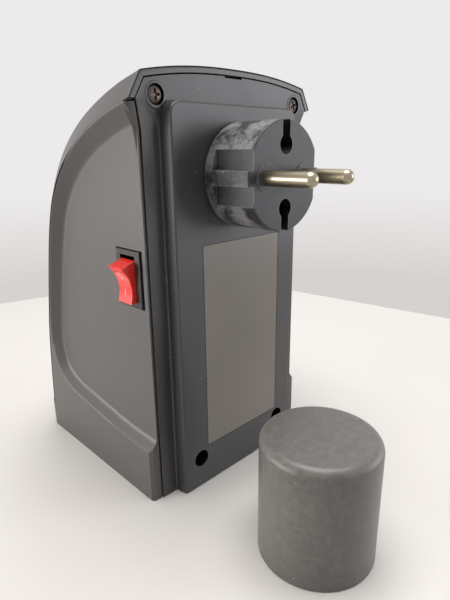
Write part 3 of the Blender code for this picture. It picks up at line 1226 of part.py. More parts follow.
def build_blower(case_paint, motor_paint, wheel_paint, shaft_paint):
    case = scroll_outline(SCROLL_WALL, SCROLL_OUTLET_Y)
    scroll = plate("blower_scroll", [case], SCROLL_LOW_X, SCROLL_HIGH_X, ALONG_X, case_paint)
    room = plate("scroll_room", [scroll_outline(0, SCROLL_OUTLET_Y - OVERRUN)],
                 SCROLL_LOW_X - OVERRUN, SCROLL_HIGH_X - SCROLL_WALL, ALONG_X)
    hub_hole = rod("scroll_hub_hole", (SCROLL_HIGH_X - 2 * SCROLL_WALL, FAN_Y, FAN_Z),
                   (SCROLL_HIGH_X + OVERRUN, FAN_Y, FAN_Z), MOTOR_BOSS_RADIUS + GAP,
                   steps=SMALL_ROUND_STEPS)
    cut(scroll, room, hub_hole)
    lid_low = SCROLL_LOW_X - GAP - SCROLL_WALL
    lid = plate("blower_inlet_plate", [case], lid_low, SCROLL_LOW_X - GAP, ALONG_X, case_paint)
    inlet = rod("scroll_inlet", (lid_low - OVERRUN, FAN_Y, FAN_Z), (SCROLL_LOW_X + OVERRUN, FAN_Y, FAN_Z),
                INLET_RADIUS)
    cut(lid, inlet)
    motor_x = SCROLL_HIGH_X + GAP
    motor = rod("fan_motor", (motor_x, FAN_Y, FAN_Z), (motor_x + MOTOR_LENGTH, FAN_Y, FAN_Z), MOTOR_RADIUS,
                motor_paint)
    nose = rod("motor_nose", (motor_x - SCROLL_WALL, FAN_Y, FAN_Z), (motor_x + OVERRUN, FAN_Y, FAN_Z),
               MOTOR_BOSS_RADIUS, steps=SMALL_ROUND_STEPS)
    tail = rod("motor_tail", (motor_x + MOTOR_LENGTH - OVERRUN, FAN_Y, FAN_Z),
               (motor_x + MOTOR_LENGTH + MOTOR_BOSS_LENGTH, FAN_Y, FAN_Z), MOTOR_BOSS_RADIUS,
               steps=SMALL_ROUND_STEPS)
    bore = rod("motor_bore", (motor_x - SCROLL_WALL - OVERRUN, FAN_Y, FAN_Z),
               (motor_x + SHAFT_BITE + GAP, FAN_Y, FAN_Z), SHAFT_RADIUS + GAP, steps=SMALL_ROUND_STEPS)
    fuse(motor, nose, tail)
    cut(motor, bore)
    wheel_low = SCROLL_MIDDLE_X - IMPELLER_LENGTH / 2
    wheel_high = SCROLL_MIDDLE_X + IMPELLER_LENGTH / 2
    rod("motor_shaft", (wheel_high - HUB_LENGTH, FAN_Y, FAN_Z), (motor_x + SHAFT_BITE, FAN_Y, FAN_Z),
        SHAFT_RADIUS, shaft_paint, steps=SMALL_ROUND_STEPS)
    wheel = rod("impeller", (wheel_high - IMPELLER_DISC, FAN_Y, FAN_Z), (wheel_high, FAN_Y, FAN_Z),
                IMPELLER_RADIUS, wheel_paint)
    hub = rod("impeller_hub", (wheel_high - HUB_LENGTH + 2 * GAP, FAN_Y, FAN_Z),
              (wheel_high - IMPELLER_DISC / 2, FAN_Y, FAN_Z), HUB_RADIUS, steps=SMALL_ROUND_STEPS)
    hub_bore = rod("impeller_bore", (wheel_high - HUB_LENGTH - OVERRUN, FAN_Y, FAN_Z),
                   (wheel_high + OVERRUN, FAN_Y, FAN_Z), SHAFT_RADIUS + GAP, steps=SMALL_ROUND_STEPS)
    outer = circle((FAN_Y, FAN_Z), IMPELLER_RADIUS, ROUND_STEPS)
    inner = circle((FAN_Y, FAN_Z), IMPELLER_RADIUS - IMPELLER_RING_WIDTH, ROUND_STEPS)
    ring = plate("impeller_ring", [outer, inner], wheel_low, wheel_low + IMPELLER_DISC, ALONG_X)
    blades = impeller_blades(wheel_low + IMPELLER_DISC / 2, wheel_high - IMPELLER_DISC / 2)
    fuse(wheel, hub)
    cut(wheel, hub_bore)
    fuse(wheel, ring, blades)


def impeller_blades(low_x, high_x):
    """Curved blades round the wheel, each an arc swept along the axis."""
    bm = bmesh.new()
    outer = IMPELLER_RADIUS - BLADE_THICKNESS / 2
    for k in range(IMPELLER_BLADES):
        start = 2 * pi * k / IMPELLER_BLADES
        line = []
        for j in range(BLADE_STEPS + 1):
            share = j / BLADE_STEPS
            radius = outer - BLADE_LENGTH * share
            angle = start + BLADE_TURN * share * (1 - share / 2) * BLADE_LENGTH / outer
            line.append(Vector((radius * cos(angle), radius * sin(angle))))
        left = offset_path(line, [BLADE_THICKNESS / 2] * len(line))
        right = offset_path(line, [-BLADE_THICKNESS / 2] * len(line))
        outline = left + list(reversed(right))
        base = [bm.verts.new((low_x, FAN_Y + p.x, FAN_Z + p.y)) for p in outline]
        face = bm.faces.new(base)
        grown = bmesh.ops.extrude_face_region(bm, geom=[face])
        moved = [g for g in grown["geom"] if isinstance(g, bmesh.types.BMVert)]
        bmesh.ops.translate(bm, vec=(high_x - low_x, 0, 0), verts=moved)
    face_outwards(bm)
    return place_object("impeller_blades", mesh_from(bm, "impeller_blades"), None)


# Heater, duct and power board

def build_duct(paint):
    """Flares from the outlet of the blower to the back of the heater."""
    start_y = SCROLL_OUTLET_Y - GAP
    end_y = HEATER_BACK_Y + GAP
    tongue = FAN_Z - scroll_radius(SCROLL_TONGUE) * cos(SCROLL_TONGUE)
    low = FAN_Z - scroll_radius(0)

    def tube(name, grow, overrun, material=None):
        near = rectangle((SCROLL_LOW_X + SCROLL_WALL - grow, low - grow),
                         (SCROLL_HIGH_X - SCROLL_WALL + grow, tongue + grow))
        half_w = HEATER_WIDTH / 2 - HEATER_FRAME_WALL + grow
        half_h = HEATER_HEIGHT / 2 - HEATER_FRAME_WALL + grow
        far = rectangle((-half_w, HEATER_Z - half_h), (half_w, HEATER_Z + half_h))
        step = start_y - end_y
        share = overrun / step
        first = [a.lerp(b, -share) for a, b in zip(near, far)]
        second = [b.lerp(a, -share) for a, b in zip(near, far)]
        return loft(name, [[(p.x, start_y + overrun, p.y) for p in first],
                           [(p.x, end_y - overrun, p.y) for p in second]], material)

    duct = tube("air_duct", DUCT_WALL, 0, paint)
    cut(duct, tube("duct_room", 0, OVERRUN))


def build_heater(frame_paint, element_paint, metal_paint, cutout_paint):
    half_w = HEATER_WIDTH / 2
    half_h = HEATER_HEIGHT / 2
    wall = HEATER_FRAME_WALL
    outer = rectangle((-half_w, HEATER_Z - half_h), (half_w, HEATER_Z + half_h))
    inner = rectangle((wall - half_w, HEATER_Z - half_h + wall), (half_w - wall, HEATER_Z + half_h - wall))
    plate("heater_frame", [outer, inner], -HEATER_BACK_Y, -HEATER_FRONT_Y, ALONG_Y, frame_paint)
    room_w = half_w - wall - GAP
    room_h = half_h - wall - GAP
    back_y = HEATER_BACK_Y - ELEMENT_MARGIN
    front_y = HEATER_FRONT_Y + ELEMENT_MARGIN
    middle = HEATER_Z
    element = block("heating_element", (-room_w, front_y, middle - ELEMENT_BAR_HEIGHT / 2),
                    (room_w, back_y, middle + ELEMENT_BAR_HEIGHT / 2), element_paint)
    bars = []
    spread = room_h - ELEMENT_BAR_HEIGHT / 2
    for k in range(ELEMENT_BARS):
        z = middle + spread * (2 * k / (ELEMENT_BARS - 1) - 1)
        bars.append(((-room_w, front_y, z - ELEMENT_BAR_HEIGHT / 2),
                     (room_w, back_y, z + ELEMENT_BAR_HEIGHT / 2)))
    fuse(element, *[several("element_bar_%d" % k, [bar]) for k, bar in enumerate(bars) if k != 1])
    fins = []
    fin_front = front_y + ELEMENT_MARGIN / 3
    fin_back = back_y - ELEMENT_MARGIN / 3
    pitch = (2 * room_w - FIN_THICKNESS) / (FIN_COUNT - 1)
    for k in range(FIN_COUNT):
        x = -room_w + k * pitch
        if 0 < k < FIN_COUNT - 1:
            fins.append(((x, fin_front, middle - spread), (x + FIN_THICKNESS, fin_back, middle + spread)))
    fuse(element, several("element_fins", fins))
    middle_y = (HEATER_BACK_Y + HEATER_FRONT_Y) / 2
    for side in (-1, 1):
        name = "left" if side < 0 else "right"
        near, far = sorted((side * (half_w + GAP), side * (half_w + GAP + HEATER_TAB_LENGTH)))
        low = (near, middle_y - HEATER_TAB_WIDTH / 2, middle - TERMINAL_THICKNESS / 2)
        high = (far, middle_y + HEATER_TAB_WIDTH / 2, middle + TERMINAL_THICKNESS / 2)
        block("heater_terminal_" + name, low, high, metal_paint)
    foot = HEATER_Z + half_h + GAP
    rod("thermal_cutout", (half_w / 2, middle_y, foot), (half_w / 2, middle_y, foot + CUTOUT_HEIGHT),
        CUTOUT_RADIUS, cutout_paint, steps=MIDDLE_ROUND_STEPS)


def build_power_board(board_paint, relay_paint, capacitor_paint):
    half = SIDE_PANEL_X - SIDE_WALL - GAP
    back_y = PLATE_Y - POWER_BOARD_INSET
    top = POWER_BOARD_Z + BOARD_THICKNESS
    block("power_board", (-half, back_y - POWER_BOARD_LENGTH, POWER_BOARD_Z), (half, back_y, top),
          board_paint)
    base = top + GAP
    relay_x = -half / 2
    relay_y = back_y - POWER_BOARD_LENGTH / 2
    block("power_relay", (relay_x - RELAY_LENGTH / 2, relay_y - RELAY_WIDTH / 2, base),
          (relay_x + RELAY_LENGTH / 2, relay_y + RELAY_WIDTH / 2, base + RELAY_HEIGHT), relay_paint)
    start = half / 2 - CAPACITOR_LENGTH / 2
    rod("film_capacitor", (start, relay_y, base + CAPACITOR_RADIUS),
        (start + CAPACITOR_LENGTH, relay_y, base + CAPACITOR_RADIUS), CAPACITOR_RADIUS, capacitor_paint,
        steps=SMALL_ROUND_STEPS)


def build():
    clear_scene()
    Shop.parts = new_collection("fan_heater")
    Shop.cutters = new_collection("cutters")
    shell = finish("shell_plastic", (0.30, 0.30, 0.30), 0.42)
    shell_front = finish("front_shell_plastic", (0.27, 0.27, 0.27), 0.36)
    shell_back = finish("back_shell_plastic", (0.29, 0.29, 0.29), 0.45)
    plug_plastic = finish("plug_plastic", (0.36, 0.36, 0.37), 0.55)
    ring_plastic = finish("retainer_plastic", (0.20, 0.20, 0.20), 0.5)
    nickel = finish("pin_nickel", (0.80, 0.77, 0.70), 0.2, 1.0)
    brass = finish("terminal_brass", (0.78, 0.62, 0.36), 0.3, 1.0)
    steel = finish("screw_steel", (0.35, 0.34, 0.33), 0.4, 1.0)
    shaft_steel = finish("shaft_steel", (0.70, 0.70, 0.70), 0.25, 1.0)
    label = finish("label_film", (0.46, 0.43, 0.40), 0.4)
    cap_plastic = finish("cap_plastic", (0.42, 0.41, 0.39), 0.5)
    black = finish("switch_plastic", (0.10, 0.10, 0.10), 0.4)
    red = finish("rocker_plastic", (0.85, 0.10, 0.10), 0.25)
    grille = finish("grille_plastic", (0.12, 0.12, 0.12), 0.45)
    lens = finish("lens_plastic", (0.05, 0.05, 0.06), 0.1)
    digits = finish("digit_plastic", (0.15, 0.15, 0.16), 0.3)
    board = finish("board_laminate", (0.10, 0.35, 0.18), 0.5)
    small = finish("component_plastic", (0.08, 0.08, 0.09), 0.4)
    button = finish("button_rubber", (0.75, 0.75, 0.74), 0.5)
    case = finish("blower_plastic", (0.14, 0.14, 0.14), 0.5)
    motor = finish("motor_steel", (0.62, 0.62, 0.60), 0.35, 1.0)
    wheel = finish("wheel_plastic", (0.18, 0.18, 0.18), 0.5)
    mica = finish("frame_resin", (0.60, 0.52, 0.38), 0.6)
    element = finish("element_aluminium", (0.80, 0.80, 0.80), 0.35, 1.0)
    duct = finish("duct_resin", (0.22, 0.20, 0.18), 0.6)
    blue = finish("relay_plastic", (0.08, 0.20, 0.55), 0.35)
    yellow = finish("capacitor_film", (0.80, 0.62, 0.12), 0.35)
    build_hood(shell_front)
    build_grille(grille)
    build_display(lens, digits)
    build_control_board(board, small)
    build_buttons(button)
    build_housing(shell)
    build_back_cover(shell_back)
    build_label(label)
    build_screws(steel)
    build_plug(plug_plastic, nickel, ring_plastic, brass)
    build_cap(cap_plastic)
    build_switch(black, red, brass)
    build_blower(case, motor, wheel, shaft_steel)
    build_duct(duct)
    build_heater(mica, element, brass, motor)
    build_power_board(board, blue, yellow)


if __name__ == "__main__":
    build()
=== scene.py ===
"""A plug-in fan heater seen from behind, with the cap of its mains plug on the floor beside it.

Metres, +Z up.  The grille faces -Y, the plug points to +Y, and the rocker switch is on the +X side.
"""
from math import acos, cos, pi, radians, sin

import bmesh
import bpy
from mathutils import Matrix, Vector


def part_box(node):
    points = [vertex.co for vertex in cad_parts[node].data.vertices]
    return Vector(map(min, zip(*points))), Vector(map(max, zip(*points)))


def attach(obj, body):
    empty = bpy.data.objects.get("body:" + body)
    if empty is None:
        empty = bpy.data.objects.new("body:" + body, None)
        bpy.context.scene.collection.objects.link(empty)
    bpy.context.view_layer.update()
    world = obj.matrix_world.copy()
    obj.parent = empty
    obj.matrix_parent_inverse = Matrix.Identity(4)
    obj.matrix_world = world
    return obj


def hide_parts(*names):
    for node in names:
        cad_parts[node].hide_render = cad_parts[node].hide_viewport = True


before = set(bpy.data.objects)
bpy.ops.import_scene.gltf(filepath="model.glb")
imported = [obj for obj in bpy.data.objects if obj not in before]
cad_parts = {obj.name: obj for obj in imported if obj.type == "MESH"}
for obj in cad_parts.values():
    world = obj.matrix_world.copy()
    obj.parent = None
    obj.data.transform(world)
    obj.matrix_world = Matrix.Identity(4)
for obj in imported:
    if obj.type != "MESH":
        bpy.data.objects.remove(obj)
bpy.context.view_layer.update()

# Sizes of the heater, the same as in the CAD model, in metres
DEPTH = 0.0890
CORNER_HEIGHT = 0.1478
CROWN = 0.0034
CROWN_POWER = 2.35
CORNER_HALF_WIDTH = 0.0383
SEAM_HALF_WIDTH = 0.0428
SEAM_INSET = 0.0076
SEAM_FOOT_INSET = 0.0042
SEAM_TURN_HEIGHT = 0.0620
FOOT_WIDTH_SHARE = 0.974
GAP = 0.0003
OVERRUN = 0.0020
FRONT_PROFILE_SHARES = (
    (0.035, 1.000), (0.183, 0.980), (0.337, 0.949), (0.471, 0.911), (0.593, 0.860),
    (0.684, 0.805), (0.764, 0.733), (0.841, 0.616), (0.930, 0.426), (0.960, 0.325),
    (0.978, 0.2165), (1.000, 0.000),
)
HOOD_WALL = 0.0019
HOOD_BACK_INSET = 0.0031
HOOD_FOOT_HEIGHT = 0.0124
SEAM_GAP = 0.0008
SIDE_PANEL_X = 0.0386
SIDE_WALL = 0.0022
FLOOR_WALL = 0.0026
HOUSING_BACK_INSET = 0.0057
HOUSING_BACK_CHAMFER = 0.0010
PLINTH_HEIGHT = 0.0120
PLINTH_FRONT_INSET = 0.0006
PLINTH_CORNER_RADIUS = 0.0050
PANEL_INSET = 0.0130
PANEL_BEVEL_WIDTH = 0.0052
PANEL_BEVEL_RISE = 0.0045
PANEL_LOW_HEIGHT = 0.0248
PANEL_FRONT_HEIGHT = 0.0460
PANEL_LOW_EDGE_SHARES = (
    (0.802, 0.780), (0.787, 0.560), (0.760, 0.420), (0.715, 0.310), (0.635, 0.215),
    (0.490, 0.135), (0.320, 0.045), (0.170, 0.000),
)
INTAKE_RADIUS = 0.0215
INTAKE_SLOT = 0.0026
INTAKE_PITCH = 0.0050
INTAKE_SLOTS = 9
COVER_WALL = 0.0022
COVER_HALF_WIDTH = 0.0375
COVER_FLANK_INSET = 0.0050
COVER_TOP_INSET = 0.0033
COVER_SLOPE_TOP = 0.1400
COVER_SLOPE_FOOT = 0.1315
COVER_BOTTOM = 0.0003
COVER_ARCH_GAP = 0.0005
COVER_ARCH_INNER_GAP = 0.0012
PLATE_HALF_WIDTH = 0.0303
PLATE_FOOT_HALF_WIDTH = 0.0310
PLATE_TOP = 0.1399
PLATE_CORNER_RADIUS = 0.0040
SNAP_SLOT_WIDTH = 0.0081
LABEL_WIDTH = 0.0396
LABEL_LOW = 0.0165
LABEL_HIGH = 0.0944
LABEL_X = -0.0012
LABEL_THICKNESS = 0.00025
LABEL_POCKET = 0.00050
SCREW_HEAD_RADIUS = 0.0027
SCREW_HEAD_HEIGHT = 0.0014
SCREW_SEAT_RADIUS = 0.0031
SCREW_SHANK_RADIUS = 0.0013
SCREW_LENGTH = 0.0090
TOP_SCREW_X = 0.0329
TOP_SCREW_Z = 0.1415
TOP_LOBE_RADIUS = 0.0042
LOW_SCREW_X = 0.0222
LOW_SCREW_Z = 0.0122
LOW_HOLE_RADIUS = 0.00335
LOW_HOLE_DEPTH = 0.0120
LOW_BOSS_WALL = 0.0016
LOW_BOSS_FLOOR = 0.0020
POST_RADIUS = 0.0038
POST_LENGTH = 0.0110
PLUG_Z = 0.1170
PLUG_RADIUS = 0.0177
PLUG_LENGTH = 0.0197
PLUG_RIM_LENGTH = 0.0035
PLUG_NECK_RADIUS = 0.0120
PLUG_NECK_LENGTH = 0.0062
PLUG_FLAT_X = 0.0154
PLUG_RIB_WIDTH = 0.0047
KEYHOLE_OFFSET = 0.0100
KEYHOLE_RADIUS = 0.0031
KEYHOLE_DEPTH = 0.0150
KEYHOLE_SLOT_WIDTH = 0.0037
PIN_SPACING = 0.0190
PIN_RADIUS = 0.0024
PIN_REACH = 0.0190
PIN_COLLAR_RADIUS = 0.0045
PIN_COLLAR_HEIGHT = 0.0004
CAP_X = 0.0153
CAP_STANDOFF = 0.0484
CAP_HEIGHT = 0.0416
CAP_WALL = 0.0012
CAP_CLEARANCE = 0.00025
CAP_EDGE_RADIUS = 0.0032
SWITCH_INSET = 0.0155
SWITCH_Z = 0.0844
BEZEL_WIDTH = 0.0138
BEZEL_HEIGHT = 0.0196
BEZEL_THICKNESS = 0.0014
BEZEL_BACK_GAP = 0.0011
SWITCH_BODY_WIDTH = 0.0120
SWITCH_BODY_HEIGHT = 0.0178
SWITCH_BODY_DEPTH = 0.0150
SWITCH_BODY_WALL = 0.0016
ROCKER_WIDTH = 0.0079
ROCKER_HALF_HEIGHT = 0.0066
ROCKER_SHOULDER_HALF_HEIGHT = 0.0073
ROCKER_TIP = 0.0083
ROCKER_SHOULDER = 0.0022
ROCKER_HOLLOW = 0.0020
ROCKER_BELLY = 0.0045
ROCKER_PIVOT_DEPTH = 0.0038
ROCKER_PIN_RADIUS = 0.0010
ROCKER_TILT = radians(13)
WINDOW_HALF_HEIGHT = 0.0080
PANEL_SHARE = 0.480
CONTROL_LEAN = radians(33)
DISPLAY_WIDTH = 0.0340
DISPLAY_HEIGHT = 0.0130
DISPLAY_UP = 0.0095
DISPLAY_CORNER = 0.0015
LENS_THICKNESS = 0.0015
BUTTON_DOWN = 0.0080
BUTTON_SPACING = 0.0135
BUTTONS = 4
BUTTON_RADIUS = 0.0036
BUTTON_PROUD = 0.0011
BUTTON_FLANGE_RADIUS = 0.0046
BUTTON_FLANGE_THICKNESS = 0.0010
BUTTON_STEM_RADIUS = 0.0015
BUTTON_TRAVEL = 0.0006
CONTROL_BOARD_DEPTH = 0.0125
CONTROL_BOSS_RADIUS = 0.0024
CONTROL_BOSS_X = 0.0300
CONTROL_BOSS_UP = 0.0020
TACT_HEIGHT = 0.0036
FAN_INSET = 0.0325
FAN_Z = 0.0660
SCROLL_START_RADIUS = 0.0190
SCROLL_GROWTH = 0.0072
SCROLL_WALL = 0.0014
SCROLL_MIDDLE_X = -0.0010
STAND_WALL = 0.0024
STAND_WIDTH = 0.0180
HEATER_WIDTH = 0.0500
HEATER_HEIGHT = 0.0330
HEATER_DEPTH = 0.0110
HEATER_Z = 0.0490
HEATER_INSET = 0.0625
POWER_BOARD_Z = 0.0955
LEDGE_THICKNESS = 0.0022
LEDGE_WIDTH = 0.0030
LEDGE_LENGTH = 0.0180
LEDGE_INSET = 0.0290
GRILLE_HALF_WIDTH = 0.0270
GRILLE_LOW = 0.0200
GRILLE_HIGH = 0.0760
GRILLE_FRAME = 0.0026
GRILLE_SLOT = 0.0031
GRILLE_PITCH = 0.0051
GRILLE_RIB = 0.0024
GRILLE_LEAN = radians(18)

PLATE_Y = DEPTH / 2
HOOD_BACK_Y = PLATE_Y - HOOD_BACK_INSET
HOUSING_BACK_Y = PLATE_Y - HOUSING_BACK_INSET
FLANK_Y = PLATE_Y - COVER_FLANK_INSET
COVER_TOP_Y = PLATE_Y - COVER_TOP_INSET
COVER_INNER_Y = FLANK_Y - COVER_WALL
COVER_MIDDLE_Y = COVER_INNER_Y + COVER_WALL / 2
HOUSING_INNER_X = SIDE_PANEL_X - SIDE_WALL
PLUG_BACK_Y = PLATE_Y + GAP
PLUG_FACE_Y = PLUG_BACK_Y + PLUG_LENGTH
PLUG_NECK_Y = PLUG_BACK_Y - PLUG_NECK_LENGTH
CAP_RADIUS = PLUG_RADIUS + CAP_CLEARANCE + CAP_WALL
CAP_Y = PLATE_Y + CAP_STANDOFF
SWITCH_Y = PLATE_Y - SWITCH_INSET
FAN_Y = PLATE_Y - FAN_INSET
HEATER_BACK_Y = PLATE_Y - HEATER_INSET
HEATER_FRONT_Y = HEATER_BACK_Y - HEATER_DEPTH

# Sizes that only the eye needs: finer steps, softened edges and small forms
PATH_STEPS = 8
CROWN_STEPS = 22
STRIP_STEPS = 6
SMALL_ROUND_STEPS = 40
HOLE_STEPS = 64
ROUND_STEPS = 96
LARGE_ROUND_STEPS = 128
EDGE_STEPS = 5
CORNER_STEPS = 12
PLATE_CORNER_STEPS = 14
CAP_EDGE_STEPS = 14
CAP_INNER_STEPS = 8
PIN_TIP_STEPS = 12
BEZEL_STEPS = 4
ROCKER_STEPS = 12
MARK_BAR_STEPS = 5
WELD_DISTANCE = 0.00002
SHARP_ANGLE = radians(28)
CROWN_SHARE = 0.96              # share of the hood's half width that its crown takes, before the edge
SQUARE_REACH = 0.008            # the hood's rows turn square to the rim and the foot within this
HOOD_EDGE_ROUND = 0.00045       # softening of the hood's long edge
HOOD_RIM_ROUND = 0.0007         # softening of the hood's back rim
SEAM_CLOSED_GAP = 0.0001        # the joint beside the hood closes to this between the two heights
SEAM_OPEN_BELOW = 0.1270
SEAM_CLOSED_ABOVE = 0.1350
# The tongue is near-black: it paints the shade in the joint
LIP_REACH = 0.0015              # tongue behind that joint
LIP_THICKNESS = 0.0009
PANEL_ROUND = 0.0011            # softening between a side panel and its bevel
PANEL_BROW = 0.00035            # softening where the bevel meets the wall
PANEL_RINGS = (0.4, 0.55, 0.65, 0.72, 0.79, 0.86, 0.93, 1.0, 1.15)
# Shoulder that carries the side out to the hood's back corner: height, then (x, y) outside and behind
SHOULDER = (
    (0.1250, (0.0386, 0.0382), (0.0381, 0.0388)),
    (0.1320, (0.0395, 0.0379), (0.0382, 0.0392)),
    (0.1393, (0.0427, 0.0376), (0.0403, 0.0408)),
)
# The wall is near-black: a sheet that paints the shade inside the heater
BAFFLE_HIGH = 0.0840            # wall on the air duct, behind the intake's slots
BAFFLE_HALF_WIDTH = 0.0345
BAFFLE_CORNER = 0.0026
BAFFLE_THICKNESS = 0.0012
SLAT_DEPTH = 0.0026
SLAT_ROUND = 0.0006
SLAT_CROWN_X = 0.018            # the slats lie as far out as the crown does here
ARCH_EDGE_ROUND = 0.0002
PLATE_FOOT_ROUND = 0.0006
PLATE_EDGE_ROUND = 0.00055
PLATE_LEAST_RADIUS = 0.001
SNAP_SLOT_DEPTH = 0.0005
LOBE_ROUND = 0.0006
LOBE_PROUD = 0.00012            # the screw's lobe stands over the pad by this
FILM_ROUND = 0.0008
RECESS_REACH = 0.00165          # cross recess of a screw: half length, half width and depth of an arm
RECESS_HALF_WIDTH = 0.00042
RECESS_DEPTH = 0.0010
THREAD_ROWS = 9
PLUG_EDGE_ROUND = 0.0005
BEZEL_PROUD = 0.0005            # the switch's frame stands over the panel by this
DISH_SHARE = 0.72               # the buttons' tops are dished over this share of their radius
BEZEL_ROUND = 0.0004
BEZEL_CORNER = 0.0006
ROCKER_EDGE_ROUND = 0.00025
MARK_PROUD = 0.00004            # printed marks lie over the rocker's face by this
MARK_SHARE = 0.46               # and sit at this share of its half height
MARK_RING = (0.00085, 0.00115)
MARK_STRETCH = 1.2
MARK_BAR_HALF_WIDTH = 0.00016
MARK_BAR_STEP = 0.00025

ALONG_X = Matrix(((0, 0, 1, 0), (1, 0, 0, 0), (0, 1, 0, 0), (0, 0, 0, 1)))
ALONG_Y = Matrix(((1, 0, 0, 0), (0, 0, -1, 0), (0, 1, 0, 0), (0, 0, 0, 1)))
ALONG_Z = Matrix.Identity(4)
TURNED_TO_BACK = Matrix.Rotation(-pi / 2, 4, 'X')


# Outlines

def smooth_path(points, steps):
    """Catmull-Rom curve through the points."""
    result = []
    for i in range(len(points) - 1):
        p1 = Vector(points[i])
        p2 = Vector(points[i + 1])
        p0 = Vector(points[i - 1]) if i else 2 * p1 - p2
        p3 = Vector(points[i + 2]) if i + 2 < len(points) else 2 * p2 - p1
        for k in range(steps):
            t = k / steps
            result.append(0.5 * (2 * p1 + (p2 - p0) * t + (2 * p0 - 5 * p1 + 4 * p2 - p3) * t ** 2
                                 + (3 * p1 - p0 - 3 * p2 + p3) * t ** 3))
    result.append(Vector(points[-1]))
    return result


def offset_path(points, distances):
    """Open path moved to the left of its direction, by a distance at each point."""
    moved = []
    last = len(points) - 1
    for i, (point, distance) in enumerate(zip(points, distances)):
        ahead = (points[min(i + 1, last)] - points[min(i, last - 1)]).normalized()
        behind = (points[max(i, 1)] - points[max(i - 1, 0)]).normalized()
        left = Vector((-(ahead.y + behind.y), ahead.x + behind.x)).normalized()
        moved.append(point + left * distance / max(left.dot(Vector((-ahead.y, ahead.x))), 0.5))
    return moved


def offset_outline(points, distance):
    """Closed anticlockwise outline grown outwards."""
    grown = []
    for i, point in enumerate(points):
        ahead = (points[(i + 1) % len(points)] - point).normalized()
        behind = (point - points[i - 1]).normalized()
        right = Vector((ahead.y + behind.y, -(ahead.x + behind.x))).normalized()
        grown.append(point + right * distance / max(right.dot(Vector((ahead.y, -ahead.x))), 0.5))
    return grown


def arc(centre, radius, start, end, steps):
    angles = [start + (end - start) * k / steps for k in range(steps + 1)]
    return [Vector((centre[0] + radius * cos(a), centre[1] + radius * sin(a))) for a in angles]


def quarter_turn(steps):
    return [k * pi / 2 / steps for k in range(steps + 1)]


def rounded_edge(radius, top, edge, steps=EDGE_STEPS):
    """Part of a turned profile: a quarter round between a face at top and a side at radius."""
    return [(radius - edge + edge * sin(a), top - edge + edge * cos(a)) for a in quarter_turn(steps)]


def soft_rings(face, edge, steps=EDGE_STEPS):
    """Rings of a loft, as place and growth, that round the edge of a face."""
    return [(face - edge + edge * sin(a), -edge * (1 - cos(a))) for a in quarter_turn(steps)]


def rounded_rectangle(low, high, radius, steps=8):
    corners = ((high[0], low[1], -pi / 2), (high[0], high[1], 0),
               (low[0], high[1], pi / 2), (low[0], low[1], pi))
    points = []
    for (x, y, start), (sx, sy) in zip(corners, ((-1, 1), (-1, -1), (1, -1), (1, 1))):
        points += arc((x + sx * radius, y + sy * radius), radius, start, start + pi / 2, steps)
    return points


def seam_draw(z):
    """How much nearer to the long edge the hood's edge lies at a height than at the top."""
    return (SEAM_INSET - SEAM_FOOT_INSET) * min(max(1 - z / SEAM_TURN_HEIGHT, 0), 1)


def seam_gap(z):
    """Width of the dark joint between hood and housing: it closes towards the top corner."""
    closed = min(max((z - SEAM_OPEN_BELOW) / (SEAM_CLOSED_ABOVE - SEAM_OPEN_BELOW), 0), 1)
    return SEAM_GAP + (SEAM_CLOSED_GAP - SEAM_GAP) * closed


def front_profile(inset, back_y, foot_z, at_seam=False):
    """Side view of the hood's long edge as (y, z), set in, between a plane and a height."""
    points = [(PLATE_Y - d * DEPTH, h * CORNER_HEIGHT) for d, h in FRONT_PROFILE_SHARES]
    path = smooth_path(points, PATH_STEPS)
    path = offset_path(path, [inset + (seam_gap(p.y) - seam_draw(p.y) if at_seam else 0)
                              for p in path])
    start = path[0] + (path[0] - path[1]) * (back_y - path[0].x) / (path[0].x - path[1].x)
    end = path[-1] + (path[-1] - path[-2]) * (foot_z - path[-1].y) / (path[-1].y - path[-2].y)
    kept = [p for p in path if p.x < back_y and p.y > foot_z]
    if path[0].x >= back_y:
        before = [p for p in path if p.x >= back_y][-1]
        start = before.lerp(kept[0], (before.x - back_y) / (before.x - kept[0].x))
    if path[-1].y <= foot_z:
        after = [p for p in path if p.y <= foot_z][0]
        end = kept[-1].lerp(after, (kept[-1].y - foot_z) / (kept[-1].y - after.y))
    return [start] + kept + [end]


def width_share(z):
    return FOOT_WIDTH_SHARE + (1 - FOOT_WIDTH_SHARE) * min(z / CORNER_HEIGHT, 1)


def crown_rise(x):
    return CROWN * (1 - min(abs(x) / CORNER_HALF_WIDTH, 1) ** CROWN_POWER)


def hood_section(inset, edge_round):
    """Half section across the hood as (x, rise, share down the side strip), from the middle out."""
    shares = [k / CROWN_STEPS * CROWN_SHARE for k in range(CROWN_STEPS + 1)]
    top = [Vector((CORNER_HALF_WIDTH * s, crown_rise(CORNER_HALF_WIDTH * s))) for s in shares]
    corner = Vector((CORNER_HALF_WIDTH, 0))
    foot = Vector((SEAM_HALF_WIDTH, -SEAM_INSET))
    moved = offset_path(top + [corner, foot], [-inset] * (len(top) + 2))
    inner_top, inner_corner = moved[:-2], moved[-2]
    along = (foot - corner).normalized()
    inner_foot = inner_corner + along * ((foot.y - inner_corner.y) / along.y)
    before = inner_corner + (inner_top[-1] - inner_corner).normalized() * edge_round
    after = inner_corner + along * edge_round
    points = [(p.x, p.y, 0) for p in inner_top]
    for k in range(EDGE_STEPS + 1):
        t = k / EDGE_STEPS
        p = before * (1 - t) ** 2 + inner_corner * 2 * t * (1 - t) + after * t ** 2
        points.append((p.x, p.y, 0))
    for k in range(1, STRIP_STEPS + 1):
        p = after.lerp(inner_foot, k / STRIP_STEPS)
        points.append((p.x, p.y, k / STRIP_STEPS))
    return points


# Solids, and the work on them

def mesh_from(bm, name):
    mesh = bpy.data.meshes.new(name)
    bm.to_mesh(mesh)
    bm.free()
    return mesh


def place(name, mesh):
    obj = bpy.data.objects.new(name, mesh)
    bpy.context.scene.collection.objects.link(obj)
    return obj


